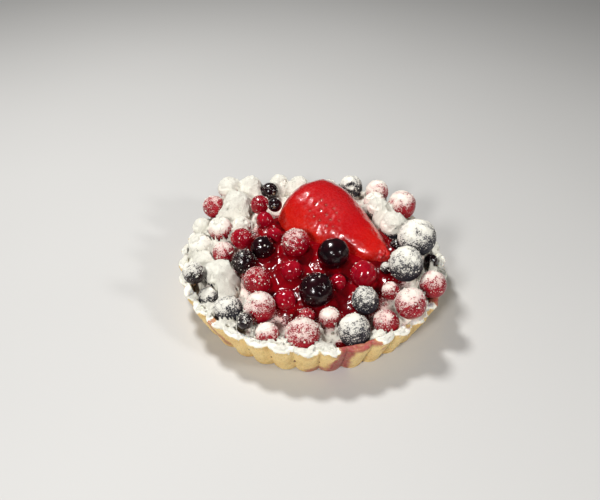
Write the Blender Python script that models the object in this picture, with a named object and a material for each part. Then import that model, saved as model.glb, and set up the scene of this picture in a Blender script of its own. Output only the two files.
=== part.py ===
"""A small fruit tart: a fluted shortcrust shell, a bed of red jelly, half a strawberry
and berries heaped around it.

Metres, +Z up. The origin is the middle of the flat base, and the low side of the heap
faces -Y.
"""

import math

import bmesh
import bpy
from mathutils import Euler, Vector

MM = 0.001
GAP = 0.3 * MM
WELD = 0.01 * MM

# Shortcrust shell
RIM_RADIUS = 52.0 * MM
BASE_RADIUS = 45.6 * MM
CRUST_HEIGHT = 15.0 * MM
FLUTES = 35
FLUTE_DEPTH = 1.9 * MM
LOBE_ROUNDNESS = 0.8
STEPS_PER_FLUTE = 6
BASE_ROUNDING = 0.8 * MM
RIM_ROUNDING = 0.9 * MM
RIM_INNER_RADIUS = 48.4 * MM
RECESS_RADIUS = 46.0 * MM
RECESS_FLOOR = 5.5 * MM

# Jelly bed: low at the front rim, higher at the back, heaped under the strawberry
BED_RADIUS = 46.0 * MM
BED_BOTTOM = RECESS_FLOOR + GAP
BED_BOTTOM_RADIUS = RECESS_RADIUS - GAP
BED_FRONT_EDGE = 7.2 * MM
BED_BACK_EDGE = 14.6 * MM
BED_PEAK = 18.8 * MM
BED_PEAK_PLACE = Vector((2.0 * MM, 12.0 * MM))
BED_RISE_FROM = -30.0 * MM
BED_RISE_TO = 40.0 * MM
BED_FRONT_FALL = 1.6
BED_BACK_FALL = 3.0
BED_STEPS = 48
BED_RINGS = 6

# Strawberry half, lying on its cut face with the tip to the front right
STRAWBERRY_PLACE = Vector((10.4 * MM, 11.3 * MM, 18.0 * MM))
STRAWBERRY_LENGTH = 50.0 * MM
STRAWBERRY_WIDTH = 35.0 * MM
STRAWBERRY_HEIGHT = 16.8 * MM
STRAWBERRY_TURN = math.radians(-45)
STRAWBERRY_TAPER = 0.62
STRAWBERRY_BELLY = 0.28
STRAWBERRY_WIDEST = -0.45
STRAWBERRY_SIDES = 20
STRAWBERRY_RINGS = 16
STRAWBERRY_GUARDS = 12

# Berries: kind, bearing in degrees from +X, reach from the middle, height of the centre
# above the base and diameter, the last three in millimetres
OUTER_RING = [
    ("blueberry", -3.1, 39.0, 26.2, 14.8),
    ("blackcurrant", -4, 45.5, 16.0, 5.8),
    ("redcurrant", -27, 48.0, 20.0, 10.0),
    ("redcurrant", -44.1, 46.6, 20.0, 11.2),
    ("redcurrant", -54, 43.0, 14.0, 9.4),
    ("blueberry", -71.5, 42.2, 14.5, 11.8),
    ("redcurrant", -95, 42.0, 14.5, 11.8),
    ("redcurrant", -111, 44.0, 13.5, 8.4),
    ("blackcurrant", -120.7, 44.9, 18.0, 6.0),
    ("blueberry", -134, 42.0, 15.0, 11.0),
    ("blueberry", -150, 43.5, 14.5, 7.2),
    ("blackcurrant", -155.9, 46.9, 22.2, 8.2),
    ("blueberry", 175, 43.0, 17.5, 10.0),
    ("redcurrant", 163, 47.0, 17.5, 7.2),
    ("redcurrant", 147, 48.5, 20.0, 9.2),
    ("redcurrant", 135, 48.5, 24.0, 9.2),
    ("redcurrant", 125, 44.5, 23.0, 8.6),
    ("redcurrant", 106.6, 47.5, 18.0, 8.4),
    ("blueberry", 98.1, 46.1, 17.5, 8.2),
    ("redcurrant", 80.3, 45.6, 15.5, 7.0),
    ("blueberry", 68.3, 46.2, 19.5, 10.0),
    ("redcurrant", 53.6, 47.1, 20.8, 9.8),
    ("redcurrant", 34.2, 44.6, 22.8, 11.8),
]
MIDDLE_RING = [
    ("redcurrant", 46.8, 38.3, 20.5, 9.2),
    ("blueberry", 19.3, 32.0, 22.0, 10.6),
    ("blackcurrant", 4, 32.0, 16.5, 6.4),
    ("blueberry", -26.4, 37.1, 25.0, 12.8),
    ("redcurrant", -37.5, 35.4, 16.7, 6.6),
    ("blueberry", -57, 33.5, 18.0, 10.4),
    ("redcurrant", -80, 35.5, 15.5, 7.4),
    ("redcurrant", -93.8, 33.1, 14.3, 6.2),
    ("redcurrant", -121, 37.0, 17.0, 11.4),
    ("redcurrant", -135, 28.5, 19.5, 10.6),
    ("blueberry", -156, 38.5, 17.5, 11.4),
    ("redcurrant", -172, 41.0, 16.5, 6.6),
    ("redcurrant", -174, 34.5, 19.0, 8.6),
    ("redcurrant", 167, 37.5, 20.5, 9.6),
    ("redcurrant", 159, 31.0, 21.0, 7.0),
    ("blueberry", 142, 39.5, 22.5, 11.0),
    ("redcurrant", 136.2, 29.5, 25.2, 7.6),
    ("blackcurrant", 117, 40.0, 21.5, 7.4),
    ("redcurrant", 33.9, 35.0, 13.0, 5.4),
    ("blueberry", 38, 32.0, 20.5, 8.6),
]
INNER_RING = [
    ("blackcurrant", -22.2, 29.3, 18.8, 4.6),
    ("redcurrant", -42, 24.5, 20.5, 9.8),
    ("redcurrant", -66, 21.5, 19.0, 6.2),
    ("blackcurrant", -87, 25.0, 19.5, 12.6),
    ("redcurrant", -111, 29.5, 17.0, 7.8),
    ("redcurrant", -118, 17.0, 20.5, 8.0),
    ("blackcurrant", -159, 27.0, 20.5, 9.2),
    ("blackcurrant", -169, 19.5, 22.0, 9.0),
    ("redcurrant", 175, 27.5, 21.5, 8.8),
    ("redcurrant", 171, 15.5, 22.5, 6.8),
    ("redcurrant", 144, 23.5, 22.5, 7.2),
    ("blackcurrant", 138, 20.0, 30.0, 5.6),
    ("blackcurrant", -53, 12.5, 24.5, 12.4),
    ("redcurrant", -150, 7.5, 24.5, 10.8),
]
SETTLE_ROUNDS = 240
SETTLE_SLACK = 0.01 * MM
GOLDEN_ANGLE = math.radians(137.5)

# Berry meshes, on a unit sphere with the blossom end at +Z
BERRY_SIDES = 10
LEAN_FROM = math.radians(20)
LEAN_STEP = math.radians(11)
LEANS = 5
KINDS = {
    "redcurrant": {"rings": 6, "squash": 1.0, "blossom_end": 1.0, "collar": 1.0},
    "blackcurrant": {"rings": 6, "squash": 0.97, "blossom_end": 0.86, "collar": 1.04},
    "blueberry": {"rings": 7, "squash": 0.9, "blossom_end": 0.66, "collar": 1.06},
}

FINISHES = {
    "crust": ((0.72, 0.47, 0.19), 0.8),
    "jelly": ((0.36, 0.012, 0.02), 0.15),
    "strawberry": ((0.62, 0.02, 0.015), 0.18),
    "redcurrant": ((0.42, 0.012, 0.035), 0.3),
    "blackcurrant": ((0.02, 0.008, 0.02), 0.2),
    "blueberry": ((0.05, 0.05, 0.09), 0.5),
}


def clear_scene():
    for item in list(bpy.data.objects):
        bpy.data.objects.remove(item)


def collection(name):
    group = bpy.data.collections.new(name)
    bpy.context.scene.collection.children.link(group)
    return group


def finish(name):
    """The material of one kind of piece."""
    found = bpy.data.materials.get(name)
    if found:
        return found
    colour, roughness = FINISHES[name]
    made = bpy.data.materials.new(name)
    made.use_nodes = True
    shader = made.node_tree.nodes["Principled BSDF"]
    shader.inputs["Base Color"].default_value = (*colour, 1.0)
    shader.inputs["Roughness"].default_value = roughness
    shader.inputs["Metallic"].default_value = 0.0
    return made


def add_object(name, mesh, group, material):
    if not mesh.materials:
        mesh.materials.append(finish(material))
    piece = bpy.data.objects.new(name, mesh)
    group.objects.link(piece)
    return piece


def mesh_from(bm, name):
    bmesh.ops.recalc_face_normals(bm, faces=bm.faces)
    mesh = bpy.data.meshes.new(name)
    bm.to_mesh(mesh)
    bm.free()
    mesh.shade_smooth()
    mesh.set_sharp_from_angle(angle=math.radians(40))
    return mesh


def smoothstep(low, high, value):
    t = min(1.0, max(0.0, (value - low) / (high - low)))
    return t * t * (3.0 - 2.0 * t)


def turned(profile, steps):
    """A closed turned solid: a profile from axis to axis, spun about Z."""
    bm = bmesh.new()
    points = [bm.verts.new((radius, 0.0, height)) for radius, height in profile]
    edges = [bm.edges.new(pair) for pair in zip(points, points[1:])]
    bmesh.ops.spin(
        bm, geom=points + edges, axis=(0, 0, 1), cent=(0, 0, 0), angle=math.tau, steps=steps
    )
    bmesh.ops.remove_doubles(bm, verts=bm.verts, dist=WELD)
    return bm


def wall_radius(height):
    """The crust's outer radius at the crest of a flute."""
    return BASE_RADIUS + (RIM_RADIUS - BASE_RADIUS) * height / CRUST_HEIGHT


def add_crust(group):
    """The shell: a solid fluted disc with a shallow recess for the jelly."""
    profile = [
        (0.0, 0.0),
        (wall_radius(0.0) - BASE_ROUNDING, 0.0),
        (wall_radius(BASE_ROUNDING), BASE_ROUNDING),
        (wall_radius(CRUST_HEIGHT - RIM_ROUNDING), CRUST_HEIGHT - RIM_ROUNDING),
        (RIM_RADIUS - RIM_ROUNDING, CRUST_HEIGHT),
        (RIM_INNER_RADIUS, CRUST_HEIGHT),
        (RECESS_RADIUS, RECESS_FLOOR),
        (0.0, RECESS_FLOOR),
    ]
    bm = turned(profile, FLUTES * STEPS_PER_FLUTE)
    for vert in bm.verts:
        radius = math.hypot(vert.co.x, vert.co.y)
        if radius > wall_radius(vert.co.z) - 1.5 * RIM_ROUNDING:
            angle = math.atan2(vert.co.y, vert.co.x)
            lobe = abs(math.cos(FLUTES * angle / 2.0)) ** LOBE_ROUNDNESS
            scale = 1.0 - FLUTE_DEPTH * (1.0 - lobe) / radius
            vert.co.x *= scale
            vert.co.y *= scale
    return add_object("crust", mesh_from(bm, "crust"), group, "crust")


def bed_height(x, y):
    """The height of the jelly, which falls from its peak to its edge."""
    back = smoothstep(BED_RISE_FROM, BED_RISE_TO, y)
    edge = BED_FRONT_EDGE + (BED_BACK_EDGE - BED_FRONT_EDGE) * back
    fall = BED_FRONT_FALL + (BED_BACK_FALL - BED_FRONT_FALL) * back
    away = Vector((x, y)) - BED_PEAK_PLACE
    if away.length < GAP:
        return BED_PEAK
    towards = BED_PEAK_PLACE.dot(away.normalized())
    room = BED_RADIUS**2 - BED_PEAK_PLACE.length_squared
    to_edge = math.sqrt(towards**2 + room) - towards
    out = min(1.0, away.length / to_edge)
    return edge + (BED_PEAK - edge) * (1.0 - out**fall)


def strawberry_outline(along):
    """The half's width as a share of the widest, from wide end -1 to tip +1."""

    def width(at):
        rounding = math.sqrt(max(0.0, 1.0 - at * at))
        return rounding * (1.0 - STRAWBERRY_TAPER * at + STRAWBERRY_BELLY * at * at)

    return width(along) / width(STRAWBERRY_WIDEST)


def strawberry_mesh(name, grow=0.0):
    """Half a strawberry on its cut face, its tip at +X."""
    bm = bmesh.new()
    bmesh.ops.create_uvsphere(
        bm, u_segments=STRAWBERRY_SIDES, v_segments=STRAWBERRY_RINGS, radius=1.0
    )
    for vert in bm.verts:
        along = vert.co.z
        ring = math.hypot(vert.co.x, vert.co.y)
        share = strawberry_outline(along) / ring if ring > 1e-6 else 0.0
        vert.co = (
            along * (STRAWBERRY_LENGTH / 2.0 + grow),
            vert.co.x * share * (STRAWBERRY_WIDTH / 2.0 + grow),
            vert.co.y * share * (STRAWBERRY_HEIGHT + grow),
        )
    everything = bm.verts[:] + bm.edges[:] + bm.faces[:]
    cut = bmesh.ops.bisect_plane(
        bm, geom=everything, plane_co=(0, 0, -grow), plane_no=(0, 0, -1), clear_outer=True
    )
    rim = [item for item in cut["geom_cut"] if isinstance(item, bmesh.types.BMEdge)]
    bmesh.ops.edgeloop_fill(bm, edges=rim)
    return mesh_from(bm, name)


def place_strawberry(piece):
    piece.location = STRAWBERRY_PLACE
    piece.rotation_euler = (0.0, 0.0, STRAWBERRY_TURN)


def add_strawberry(group):
    piece = add_object("strawberry", strawberry_mesh("strawberry"), group, "strawberry")
    place_strawberry(piece)
    return piece


def add_bed(group, cutters):
    """The jelly, with a seat cut in it for the strawberry."""
    rings = [BED_RADIUS * step / BED_RINGS for step in range(BED_RINGS + 1)]
    profile = [(radius, CRUST_HEIGHT) for radius in rings]
    profile += [(BED_BOTTOM_RADIUS, BED_BOTTOM), (0.0, BED_BOTTOM)]
    bm = turned(profile, BED_STEPS)
    for vert in bm.verts:
        if vert.co.z > BED_BOTTOM + GAP:
            vert.co.z = bed_height(vert.co.x, vert.co.y)
    bed = add_object("jelly_bed", mesh_from(bm, "jelly_bed"), group, "jelly")

    seat = add_object("strawberry_seat", strawberry_mesh("seat", grow=GAP), cutters, "jelly")
    place_strawberry(seat)
    seat.hide_render = True
    seat.display_type = "WIRE"
    cut = bed.modifiers.new("strawberry seat", "BOOLEAN")
    cut.operation = "DIFFERENCE"
    cut.solver = "EXACT"
    cut.object = seat
    return bed


def strawberry_guards():
    """Balls along the strawberry that stand in for it while the berries settle."""
    guards = []
    direction = Vector((math.cos(STRAWBERRY_TURN), math.sin(STRAWBERRY_TURN), 0.0))
    for step in range(STRAWBERRY_GUARDS):
        along = -1.0 + 2.0 * (step + 0.5) / STRAWBERRY_GUARDS
        at = STRAWBERRY_PLACE + direction * (along * STRAWBERRY_LENGTH / 2.0)
        radius = strawberry_outline(along) * STRAWBERRY_WIDTH / 2.0
        guards.append({"at": at, "radius": radius})
    return guards


def push_off_neighbours(balls):
    """Part each pair that is closer than a gap; returns the largest push."""
    largest = 0.0
    for index, first in enumerate(balls):
        for second in balls[index + 1:]:
            apart = second["at"] - first["at"]
            wanted = first["radius"] + second["radius"] + GAP
            if apart.length < wanted:
                push = 0.5 * (wanted - apart.length)
                step = apart.normalized() * push
                first["at"] -= step
                second["at"] += step
                largest = max(largest, push)
    return largest


def push_into_tart(ball, guards):
    """Keep a berry off the strawberry, on the jelly and inside or over the rim."""
    at, radius = ball["at"], ball["radius"]
    for guard in guards:
        apart = at - guard["at"]
        wanted = radius + guard["radius"] + GAP
        if apart.length < wanted:
            at += apart.normalized() * (wanted - apart.length)

    reach = math.hypot(at.x, at.y)
    inwards = RIM_INNER_RADIUS - reach
    above = at.z - CRUST_HEIGHT
    if above > 0.0:
        distance = math.hypot(inwards, above)
        if distance < radius + GAP:
            lift = (radius + GAP - distance) / distance
            at.z += above * lift
            inwards *= 1.0 + lift
    else:
        inwards = max(inwards, radius + GAP)
    if reach > 0.0:
        scale = (RIM_INNER_RADIUS - inwards) / reach
        at.x *= scale
        at.y *= scale
    at.z = max(at.z, bed_height(at.x, at.y) + radius + GAP)


def settled_berries():
    """Every berry at its own place, none of them touching."""
    rows = OUTER_RING + MIDDLE_RING + INNER_RING
    balls = []
    for kind, bearing, reach, height, diameter in rows:
        angle = math.radians(bearing)
        place = Vector((reach * math.cos(angle), reach * math.sin(angle), height)) * MM
        balls.append({"kind": kind, "at": place, "radius": diameter * MM / 2.0})
    guards = strawberry_guards()
    for _ in range(SETTLE_ROUNDS):
        for ball in balls:
            push_into_tart(ball, guards)
        if push_off_neighbours(balls) < SETTLE_SLACK:
            break
    return balls


def berry_mesh(kind):
    """A unit berry; its dried blossom end is a pit inside a low collar."""
    shape = KINDS[kind]
    bm = bmesh.new()
    bmesh.ops.create_uvsphere(
        bm, u_segments=BERRY_SIDES, v_segments=shape["rings"], radius=1.0
    )
    first_ring = math.cos(math.pi / shape["rings"])
    for vert in bm.verts:
        if vert.co.z > 0.99:
            vert.co.z = shape["blossom_end"]
        elif vert.co.z > first_ring - 0.01:
            vert.co.z *= shape["collar"]
        vert.co.z *= shape["squash"]
    return mesh_from(bm, kind)


def add_berries(group):
    meshes = {kind: berry_mesh(kind) for kind in KINDS}
    counts = dict.fromkeys(KINDS, 0)
    for index, ball in enumerate(settled_berries()):
        kind = ball["kind"]
        counts[kind] += 1
        name = f"{kind}_{counts[kind]:02d}"
        piece = add_object(name, meshes[kind], group, kind)
        piece.location = ball["at"]
        lean = LEAN_FROM + LEAN_STEP * (index % LEANS)
        piece.rotation_euler = Euler((lean, 0.0, GOLDEN_ANGLE * index), "XYZ")
        piece.scale = (ball["radius"],) * 3


def main():
    clear_scene()
    tart = collection("fruit_tart")
    cutters = collection("cutters")
    add_crust(tart)
    add_bed(tart, cutters)
    add_strawberry(tart)
    add_berries(tart)


main()
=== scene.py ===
"""A small fruit tart under icing sugar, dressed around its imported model.

A fluted shortcrust shell holds red jelly, half a strawberry and a heap of redcurrants,
blackcurrants and blueberries. Sugar lies on the fruit in drifts, speckles and loose
grains. Every piece has an operator, and main() calls them in order. Metres, +Z up, with
the low side of the heap towards -Y.
"""

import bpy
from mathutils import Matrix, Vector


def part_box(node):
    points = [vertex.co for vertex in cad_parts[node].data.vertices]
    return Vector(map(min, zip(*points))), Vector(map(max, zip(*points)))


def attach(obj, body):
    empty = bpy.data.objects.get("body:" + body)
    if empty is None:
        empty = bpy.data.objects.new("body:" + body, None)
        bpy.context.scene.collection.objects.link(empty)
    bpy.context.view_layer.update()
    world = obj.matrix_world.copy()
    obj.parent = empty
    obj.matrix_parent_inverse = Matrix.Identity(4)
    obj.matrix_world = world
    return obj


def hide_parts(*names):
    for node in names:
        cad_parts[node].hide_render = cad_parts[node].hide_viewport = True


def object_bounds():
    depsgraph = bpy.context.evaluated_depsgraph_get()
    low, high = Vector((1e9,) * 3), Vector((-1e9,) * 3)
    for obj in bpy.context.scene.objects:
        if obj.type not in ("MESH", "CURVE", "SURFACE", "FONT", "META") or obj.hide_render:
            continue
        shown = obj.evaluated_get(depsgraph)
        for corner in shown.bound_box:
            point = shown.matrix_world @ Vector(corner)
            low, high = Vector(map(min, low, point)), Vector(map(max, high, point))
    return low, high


bl_info = {
    "name": "Sugared Berry Tart",
    "version": (1, 0, 0),
    "blender": (4, 5, 0),
    "location": "View3D > Sidebar > Berry Tart",
    "description": "Dresses a small fruit tart with pastry, jelly, fruit and icing sugar",
    "category": "Object",
}

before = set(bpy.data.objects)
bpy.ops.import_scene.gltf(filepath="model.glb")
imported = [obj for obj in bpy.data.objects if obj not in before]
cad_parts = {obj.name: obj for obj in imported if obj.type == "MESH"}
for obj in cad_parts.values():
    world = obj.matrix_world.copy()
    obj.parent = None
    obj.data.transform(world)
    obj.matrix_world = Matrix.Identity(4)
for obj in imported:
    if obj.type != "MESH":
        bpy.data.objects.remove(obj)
CAD_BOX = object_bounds()

import math

import bmesh
import bpy
import numpy as np
from mathutils import Matrix, Vector
from mathutils.bvhtree import BVHTree

MM = 0.001
BODY = "root"

# The shell and the bed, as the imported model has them
RIM_RADIUS = 52.0 * MM
BASE_RADIUS = 45.6 * MM
CRUST_HEIGHT = 15.0 * MM
RIM_INNER_RADIUS = 48.4 * MM
RECESS_RADIUS = 46.0 * MM
RECESS_FLOOR = 5.5 * MM
GAP = 0.3 * MM
BED_RADIUS = 46.0 * MM
BED_BOTTOM = RECESS_FLOOR + GAP
BED_FRONT_EDGE = 7.2 * MM
BED_BACK_EDGE = 14.6 * MM
BED_PEAK = 18.8 * MM
BED_PEAK_PLACE = (2.0 * MM, 12.0 * MM)
BED_RISE_FROM = -30.0 * MM
BED_RISE_TO = 40.0 * MM
BED_FRONT_FALL = 1.6
BED_BACK_FALL = 3.0

# The strawberry half lies on its cut face with its tip to the front right
STRAWBERRY_PLACE = np.array((10.4, 11.3, 18.0)) * MM
STRAWBERRY_LENGTH = 50.0 * MM
STRAWBERRY_WIDTH = 35.0 * MM
STRAWBERRY_HEIGHT = 16.8 * MM
STRAWBERRY_TURN = math.radians(-45)
STRAWBERRY_TAPER = 0.62
STRAWBERRY_BELLY = 0.28
STRAWBERRY_WIDEST = -0.45

# How much sugar lies on each berry, from bare to buried, in the order of the nodes
SUGAR_ON = {
    "redcurrant": (
        0.4, 0.42, 0.35, 0.37, 0.5, 0.95, 0.32, 1.0, 0.95, 0.9, 0.8,
        0.55, 0.5, 0.62, 0.5, 0.45, 0.15, 0.47, 0.22, 0.95, 0.4, 0.75,
        0.85, 0.12, 0.95, 0.03, 0.02, 0.03, 0.03, 0.12, 0.03, 0.03, 0.26,
    ),
    "blackcurrant": (0.2, 0.2, 0.5, 0.1, 0.08, 0.4, 0.045, 0.12, 0.04, 0.05, 0.0),
    "blueberry": (0.52, 0.44, 0.38, 0.5, 0.85, 0.95, 0.5, 0.95, 0.5, 0.31, 0.97, 1.0, 1.0),
}
# Blossom ends that show: bearing and lift in degrees. The others follow a rule
BLOSSOM_ENDS = {
    "blueberry_07": (-95, 38),
    "blueberry_08": (-100, 52),
    "blackcurrant_10": (-95, 15),
    "blackcurrant_05": (-60, 10),
    "redcurrant_23": (-120, 30),
}
GOLDEN_ANGLE = 137.5

# Where juice has run over the rim: bearing at the rim and at the base, half width at the
# rim and at the base, in degrees, top and bottom in millimetres, and strength
JUICE_RUNS = [
    (-77, -80, 3.6, 7.5, 16.5, 0.0, 1.0),
    (-70, -70, 7.5, 6.0, 17.0, 14.0, 0.95),
    (-89, -89, 5.0, 5.0, 2.2, 0.0, 0.8),
    (-134.5, -130, 1.5, 1.8, 15.5, 2.0, 0.7),
    (-61.7, -61.7, 1.2, 1.2, 11.5, 9.5, 0.5),
    (-29, -29, 3.5, 3.5, 17.0, 12.5, 0.9),
]
SUGAR_FALLS_FROM = Vector((-0.28, 0.12, 1.0)).normalized()
BARE_MIDDLE = np.array((4.0, -4.0)) * MM

# Tints that go with the colours in the settings
PALE_CRUMB = (0.86, 0.7, 0.4, 1.0)
# painted shade for the pores of the pastry
PORE_SHADE = (0.3, 0.16, 0.05, 1.0)
THIN_JUICE = (0.42, 0.014, 0.055, 1.0)
# warmer orange skin at the strawberry's tip, and painted glow of light through its thin front edge
WARM_SKIN_AND_EDGE_GLOW = (0.66, 0.022, 0.008, 1.0)
# painted shade for the hollows round the strawberry's seeds
PIT_SHADE_RED = (0.2, 0.004, 0.006, 1.0)
SEED_RED = (0.3, 0.03, 0.015, 1.0)
SOAKED_SUGAR = (0.42, 0.37, 0.3, 1.0)
DAMP_ON_RED = (0.6, 0.14, 0.17)
DAMP_ON_DARK = (0.46, 0.43, 0.41)
DEAD_CROWN = (0.012, 0.008, 0.01)

# Drifts: they hang over an edge that is higher than this, one ring of cells for each drop
HANG_FROM = 12.0 * MM
HANG_DROPS = (0.35 * MM, 0.9 * MM)
DRIFT_MARGIN = 3.0 * MM
DRIFT_EDGE = 0.5 * MM
LYING = 0.6
HEAP_REACH = 6.0 * MM
HEAPS_ON_JELLY_ABOVE = 20.0 * MM
BANK_FROM = 41.0 * MM
BANK_FULL = 46.0 * MM
BANK_DEEPEST = 6.0 * MM

SURFACES = []


# ---------------------------------------------------------------- small tools


def smoothstep(low, high, value):
    t = np.clip((value - low) / (high - low), 0.0, 1.0)
    return t * t * (3.0 - 2.0 * t)


def noise(points, scale, seed=0):
    """Smooth noise from -1 to 1 at each point."""
    at = np.asarray(points, float) / scale + 11.3 * seed
    cell = np.floor(at).astype(np.int64)
    part = at - cell
    part = part * part * (3.0 - 2.0 * part)
    total = np.zeros(len(at))
    for corner in np.ndindex(2, 2, 2):
        spot = cell + corner
        mixed = spot[:, 0] * 73856093 ^ spot[:, 1] * 19349663 ^ spot[:, 2] * 83492791
        mixed = (mixed ^ (mixed >> 13)) * 1274126177 & 0x7FFFFFFF
        value = ((mixed ^ (mixed >> 16)) & 0xFFFF) / 32767.5 - 1.0
        weight = np.prod(np.where(corner, part, 1.0 - part), axis=1)
        total += value * weight
    return total


def cloudy(points, scale, seed=0, octaves=3):
    """Noise with finer noise on it."""
    total = np.zeros(len(points))
    for octave in range(octaves):
        total += noise(points, scale / 2.1**octave, seed + octave) / 2.0**octave
    return total / 1.6


def build_mesh(name, points, faces, values=None):
    """A smooth mesh with a float attribute on its points for each of the values."""
    mesh = bpy.data.meshes.new(name)
    mesh.from_pydata(np.asarray(points).tolist(), [], faces)
    mesh.shade_smooth()
    for key, value in (values or {}).items():
        layer = mesh.attributes.new(key, "FLOAT", "POINT")
        layer.data.foreach_set("value", np.asarray(value, np.float32))
    mesh.update()
    return mesh


def coordinates(mesh):
    found = np.empty(len(mesh.vertices) * 3, np.float32)
    mesh.vertices.foreach_get("co", found)
    return found.reshape(-1, 3).astype(float)


def normals(mesh):
    found = np.empty(len(mesh.vertices) * 3, np.float32)
    mesh.vertex_normals.foreach_get("vector", found)
    return found.reshape(-1, 3).astype(float)


def move_points(mesh, points):
    mesh.vertices.foreach_set("co", np.asarray(points, np.float32).ravel())
    mesh.update()


def set_values(mesh, key, value):
    layer = mesh.attributes.get(key) or mesh.attributes.new(key, "FLOAT", "POINT")
    layer.data.foreach_set("value", np.asarray(value, np.float32))


def add_piece(name, mesh, material, replaced=()):
    """Link a finished piece, give it its finish and let it ride on the tart."""
    if not mesh.materials:
        mesh.materials.append(material)
    piece = bpy.data.objects.new(name, mesh)
    bpy.context.scene.collection.objects.link(piece)
    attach(piece, BODY)
    if replaced:
        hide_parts(*replaced)
    return piece


def remember(mesh, sugar, amount, takes=None):
    """Keep a surface for the drifts and the grains, with the sugar on its points, the
    amount that has fallen there whatever its slope, and how far it takes a heap."""
    faces = [tuple(face.vertices) for face in mesh.polygons]
    points = coordinates(mesh)
    SURFACES.append({
        "points": points,
        "faces": faces,
        "sugar": np.asarray(sugar),
        "amount": np.broadcast_to(amount, len(points)),
        "takes": np.broadcast_to(amount if takes is None else takes, len(points)),
    })


def grid_faces(rows, columns, wrap=True):
    """Quads between rows of points, each row closed on itself if it wraps."""
    faces = []
    for row in range(rows - 1):
        for column in range(columns if wrap else columns - 1):
            after = (column + 1) % columns
            low, high = row * columns, (row + 1) * columns
            faces.append((low + column, low + after, high + after, high + column))
    return faces


def pole_faces(rows, columns, start, end):
    """Triangles from a grid's first row to a start point and from its last to an end."""
    faces, last = [], (rows - 1) * columns
    for index in range(columns):
        after = (index + 1) % columns
        faces.append((start, after, index))
        faces.append((last + index, last + after, end))
    return faces


# ------------------------------------------------------------ node tree tools


def node(tree, kind, inputs=None, output=0, **settings):
    """Add a node, set or link its inputs and return one of its outputs."""
    made = tree.nodes.new(kind)
    for key, value in settings.items():
        setattr(made, key, value)
    for key, value in (inputs or {}).items():
        if isinstance(value, bpy.types.NodeSocket):
            tree.links.new(value, made.inputs[key])
        else:
            made.inputs[key].default_value = value
    return made.outputs[output]


def compute(tree, operation, *values):
    return node(tree, "ShaderNodeMath", dict(enumerate(values)), operation=operation)


def blend_values(tree, share, low, high):
    return node(tree, "ShaderNodeMix", {0: share, 2: low, 3: high})


def blend_colours(tree, share, low, high, way="MIX"):
    inputs = {0: share, 6: low, 7: high}
    return node(tree, "ShaderNodeMix", inputs, 2, data_type="RGBA", blend_type=way)


def remap(tree, value, low, high, to_low=0.0, to_high=1.0, smooth=False):
    inputs = {0: value, 1: low, 2: high, 3: to_low, 4: to_high}
    kind = "SMOOTHSTEP" if smooth else "LINEAR"
    return node(tree, "ShaderNodeMapRange", inputs, interpolation_type=kind)


def grain(tree, place, size, detail=2.0, roughness=0.5):
    """A noise whose blobs are about a given size across, in metres."""
    inputs = {"Vector": place, "Scale": 1.0 / size, "Detail": detail, "Roughness": roughness}
    return node(tree, "ShaderNodeTexNoise", inputs)


def attribute(tree, name):
    return node(tree, "ShaderNodeAttribute", output=2, attribute_name=name)


def object_place(tree):
    return node(tree, "ShaderNodeTexCoord", output=3)


def new_material(name):
    material = bpy.data.materials.new(name)
    material.use_nodes = True
    tree = material.node_tree
    return material, tree, tree.nodes["Principled BSDF"]


def plug(tree, shader, inputs):
    """Set or link the sockets of a shader."""
    for key, value in inputs.items():
        if isinstance(value, bpy.types.NodeSocket):
            tree.links.new(value, shader.inputs[key])
        else:
            shader.inputs[key].default_value = value


def opaque(colour):
    return (*colour, 1.0)


def new_tree(name, inputs):
    """A Geometry Nodes tree with named inputs; returns it with its two end nodes."""
    tree = bpy.data.node_groups.new(name, "GeometryNodeTree")
    face = tree.interface
    face.new_socket("Geometry", in_out="INPUT", socket_type="NodeSocketGeometry")
    for label, kind in inputs:
        face.new_socket(label, in_out="INPUT", socket_type=kind)
    face.new_socket("Geometry", in_out="OUTPUT", socket_type="NodeSocketGeometry")
    return tree, tree.nodes.new("NodeGroupInput"), tree.nodes.new("NodeGroupOutput")


def grow(mesh, tree, values):
    """Run a Geometry Nodes tree on a mesh and return the plain mesh that it makes."""
    carrier = bpy.data.objects.new(tree.name, mesh)
    bpy.context.scene.collection.objects.link(carrier)
    modifier = carrier.modifiers.new(tree.name, "NODES")
    modifier.node_group = tree
    for socket in tree.interface.items_tree:
        if socket.in_out == "INPUT" and socket.name in values:
            modifier[socket.identifier] = values[socket.name]
    graph = bpy.context.evaluated_depsgraph_get()
    made = bpy.data.meshes.new_from_object(
        carrier.evaluated_get(graph), preserve_all_data_layers=True, depsgraph=graph
    )
    carrier.modifiers.remove(modifier)
    bpy.data.objects.remove(carrier)
    return made


# ---------------------------------------------------------------------- sugar


def bare_share(x, y):
    """How far a spot is out of the bare middle, from 0 to 1."""
    across, back = x - BARE_MIDDLE[0], y - BARE_MIDDLE[1]
    back = back * (1.0 + 0.35 * smoothstep(0.0, 15.0 * MM, across) * (back > 0.0))
    away = np.hypot(across, back)
    wobble = noise(np.stack([x, y, 0.0 * x], -1), 9.0 * MM, 4) * 2.0 * MM
    return smoothstep(26.0 * MM, 36.0 * MM, away + wobble)


def juice_share(points):
    """How much juice has run over each point of the shell."""
    bearing = np.degrees(np.arctan2(points[:, 1], points[:, 0]))
    height = points[:, 2] / MM
    found = np.zeros(len(points))
    down = np.clip(1.0 - height / (CRUST_HEIGHT / MM), 0.0, 1.0)
    for at_rim, at_base, rim_half, base_half, top, bottom, strength in JUICE_RUNS:
        middle = at_rim + (at_base - at_rim) * down
        spread = rim_half + (base_half - rim_half) * down**1.5
        wobble = cloudy(points, 3.0 * MM, 9, 2) * 0.4 * spread
        across = np.abs(bearing - middle + wobble) / spread
        inside = 1.0 - smoothstep(0.6, 1.1, across)
        inside *= smoothstep(bottom - 1.5, bottom + 1.0, height)
        inside *= 1.0 - smoothstep(top, top + 1.0, height)
        found = np.maximum(found, inside * strength)
    return found


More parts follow.
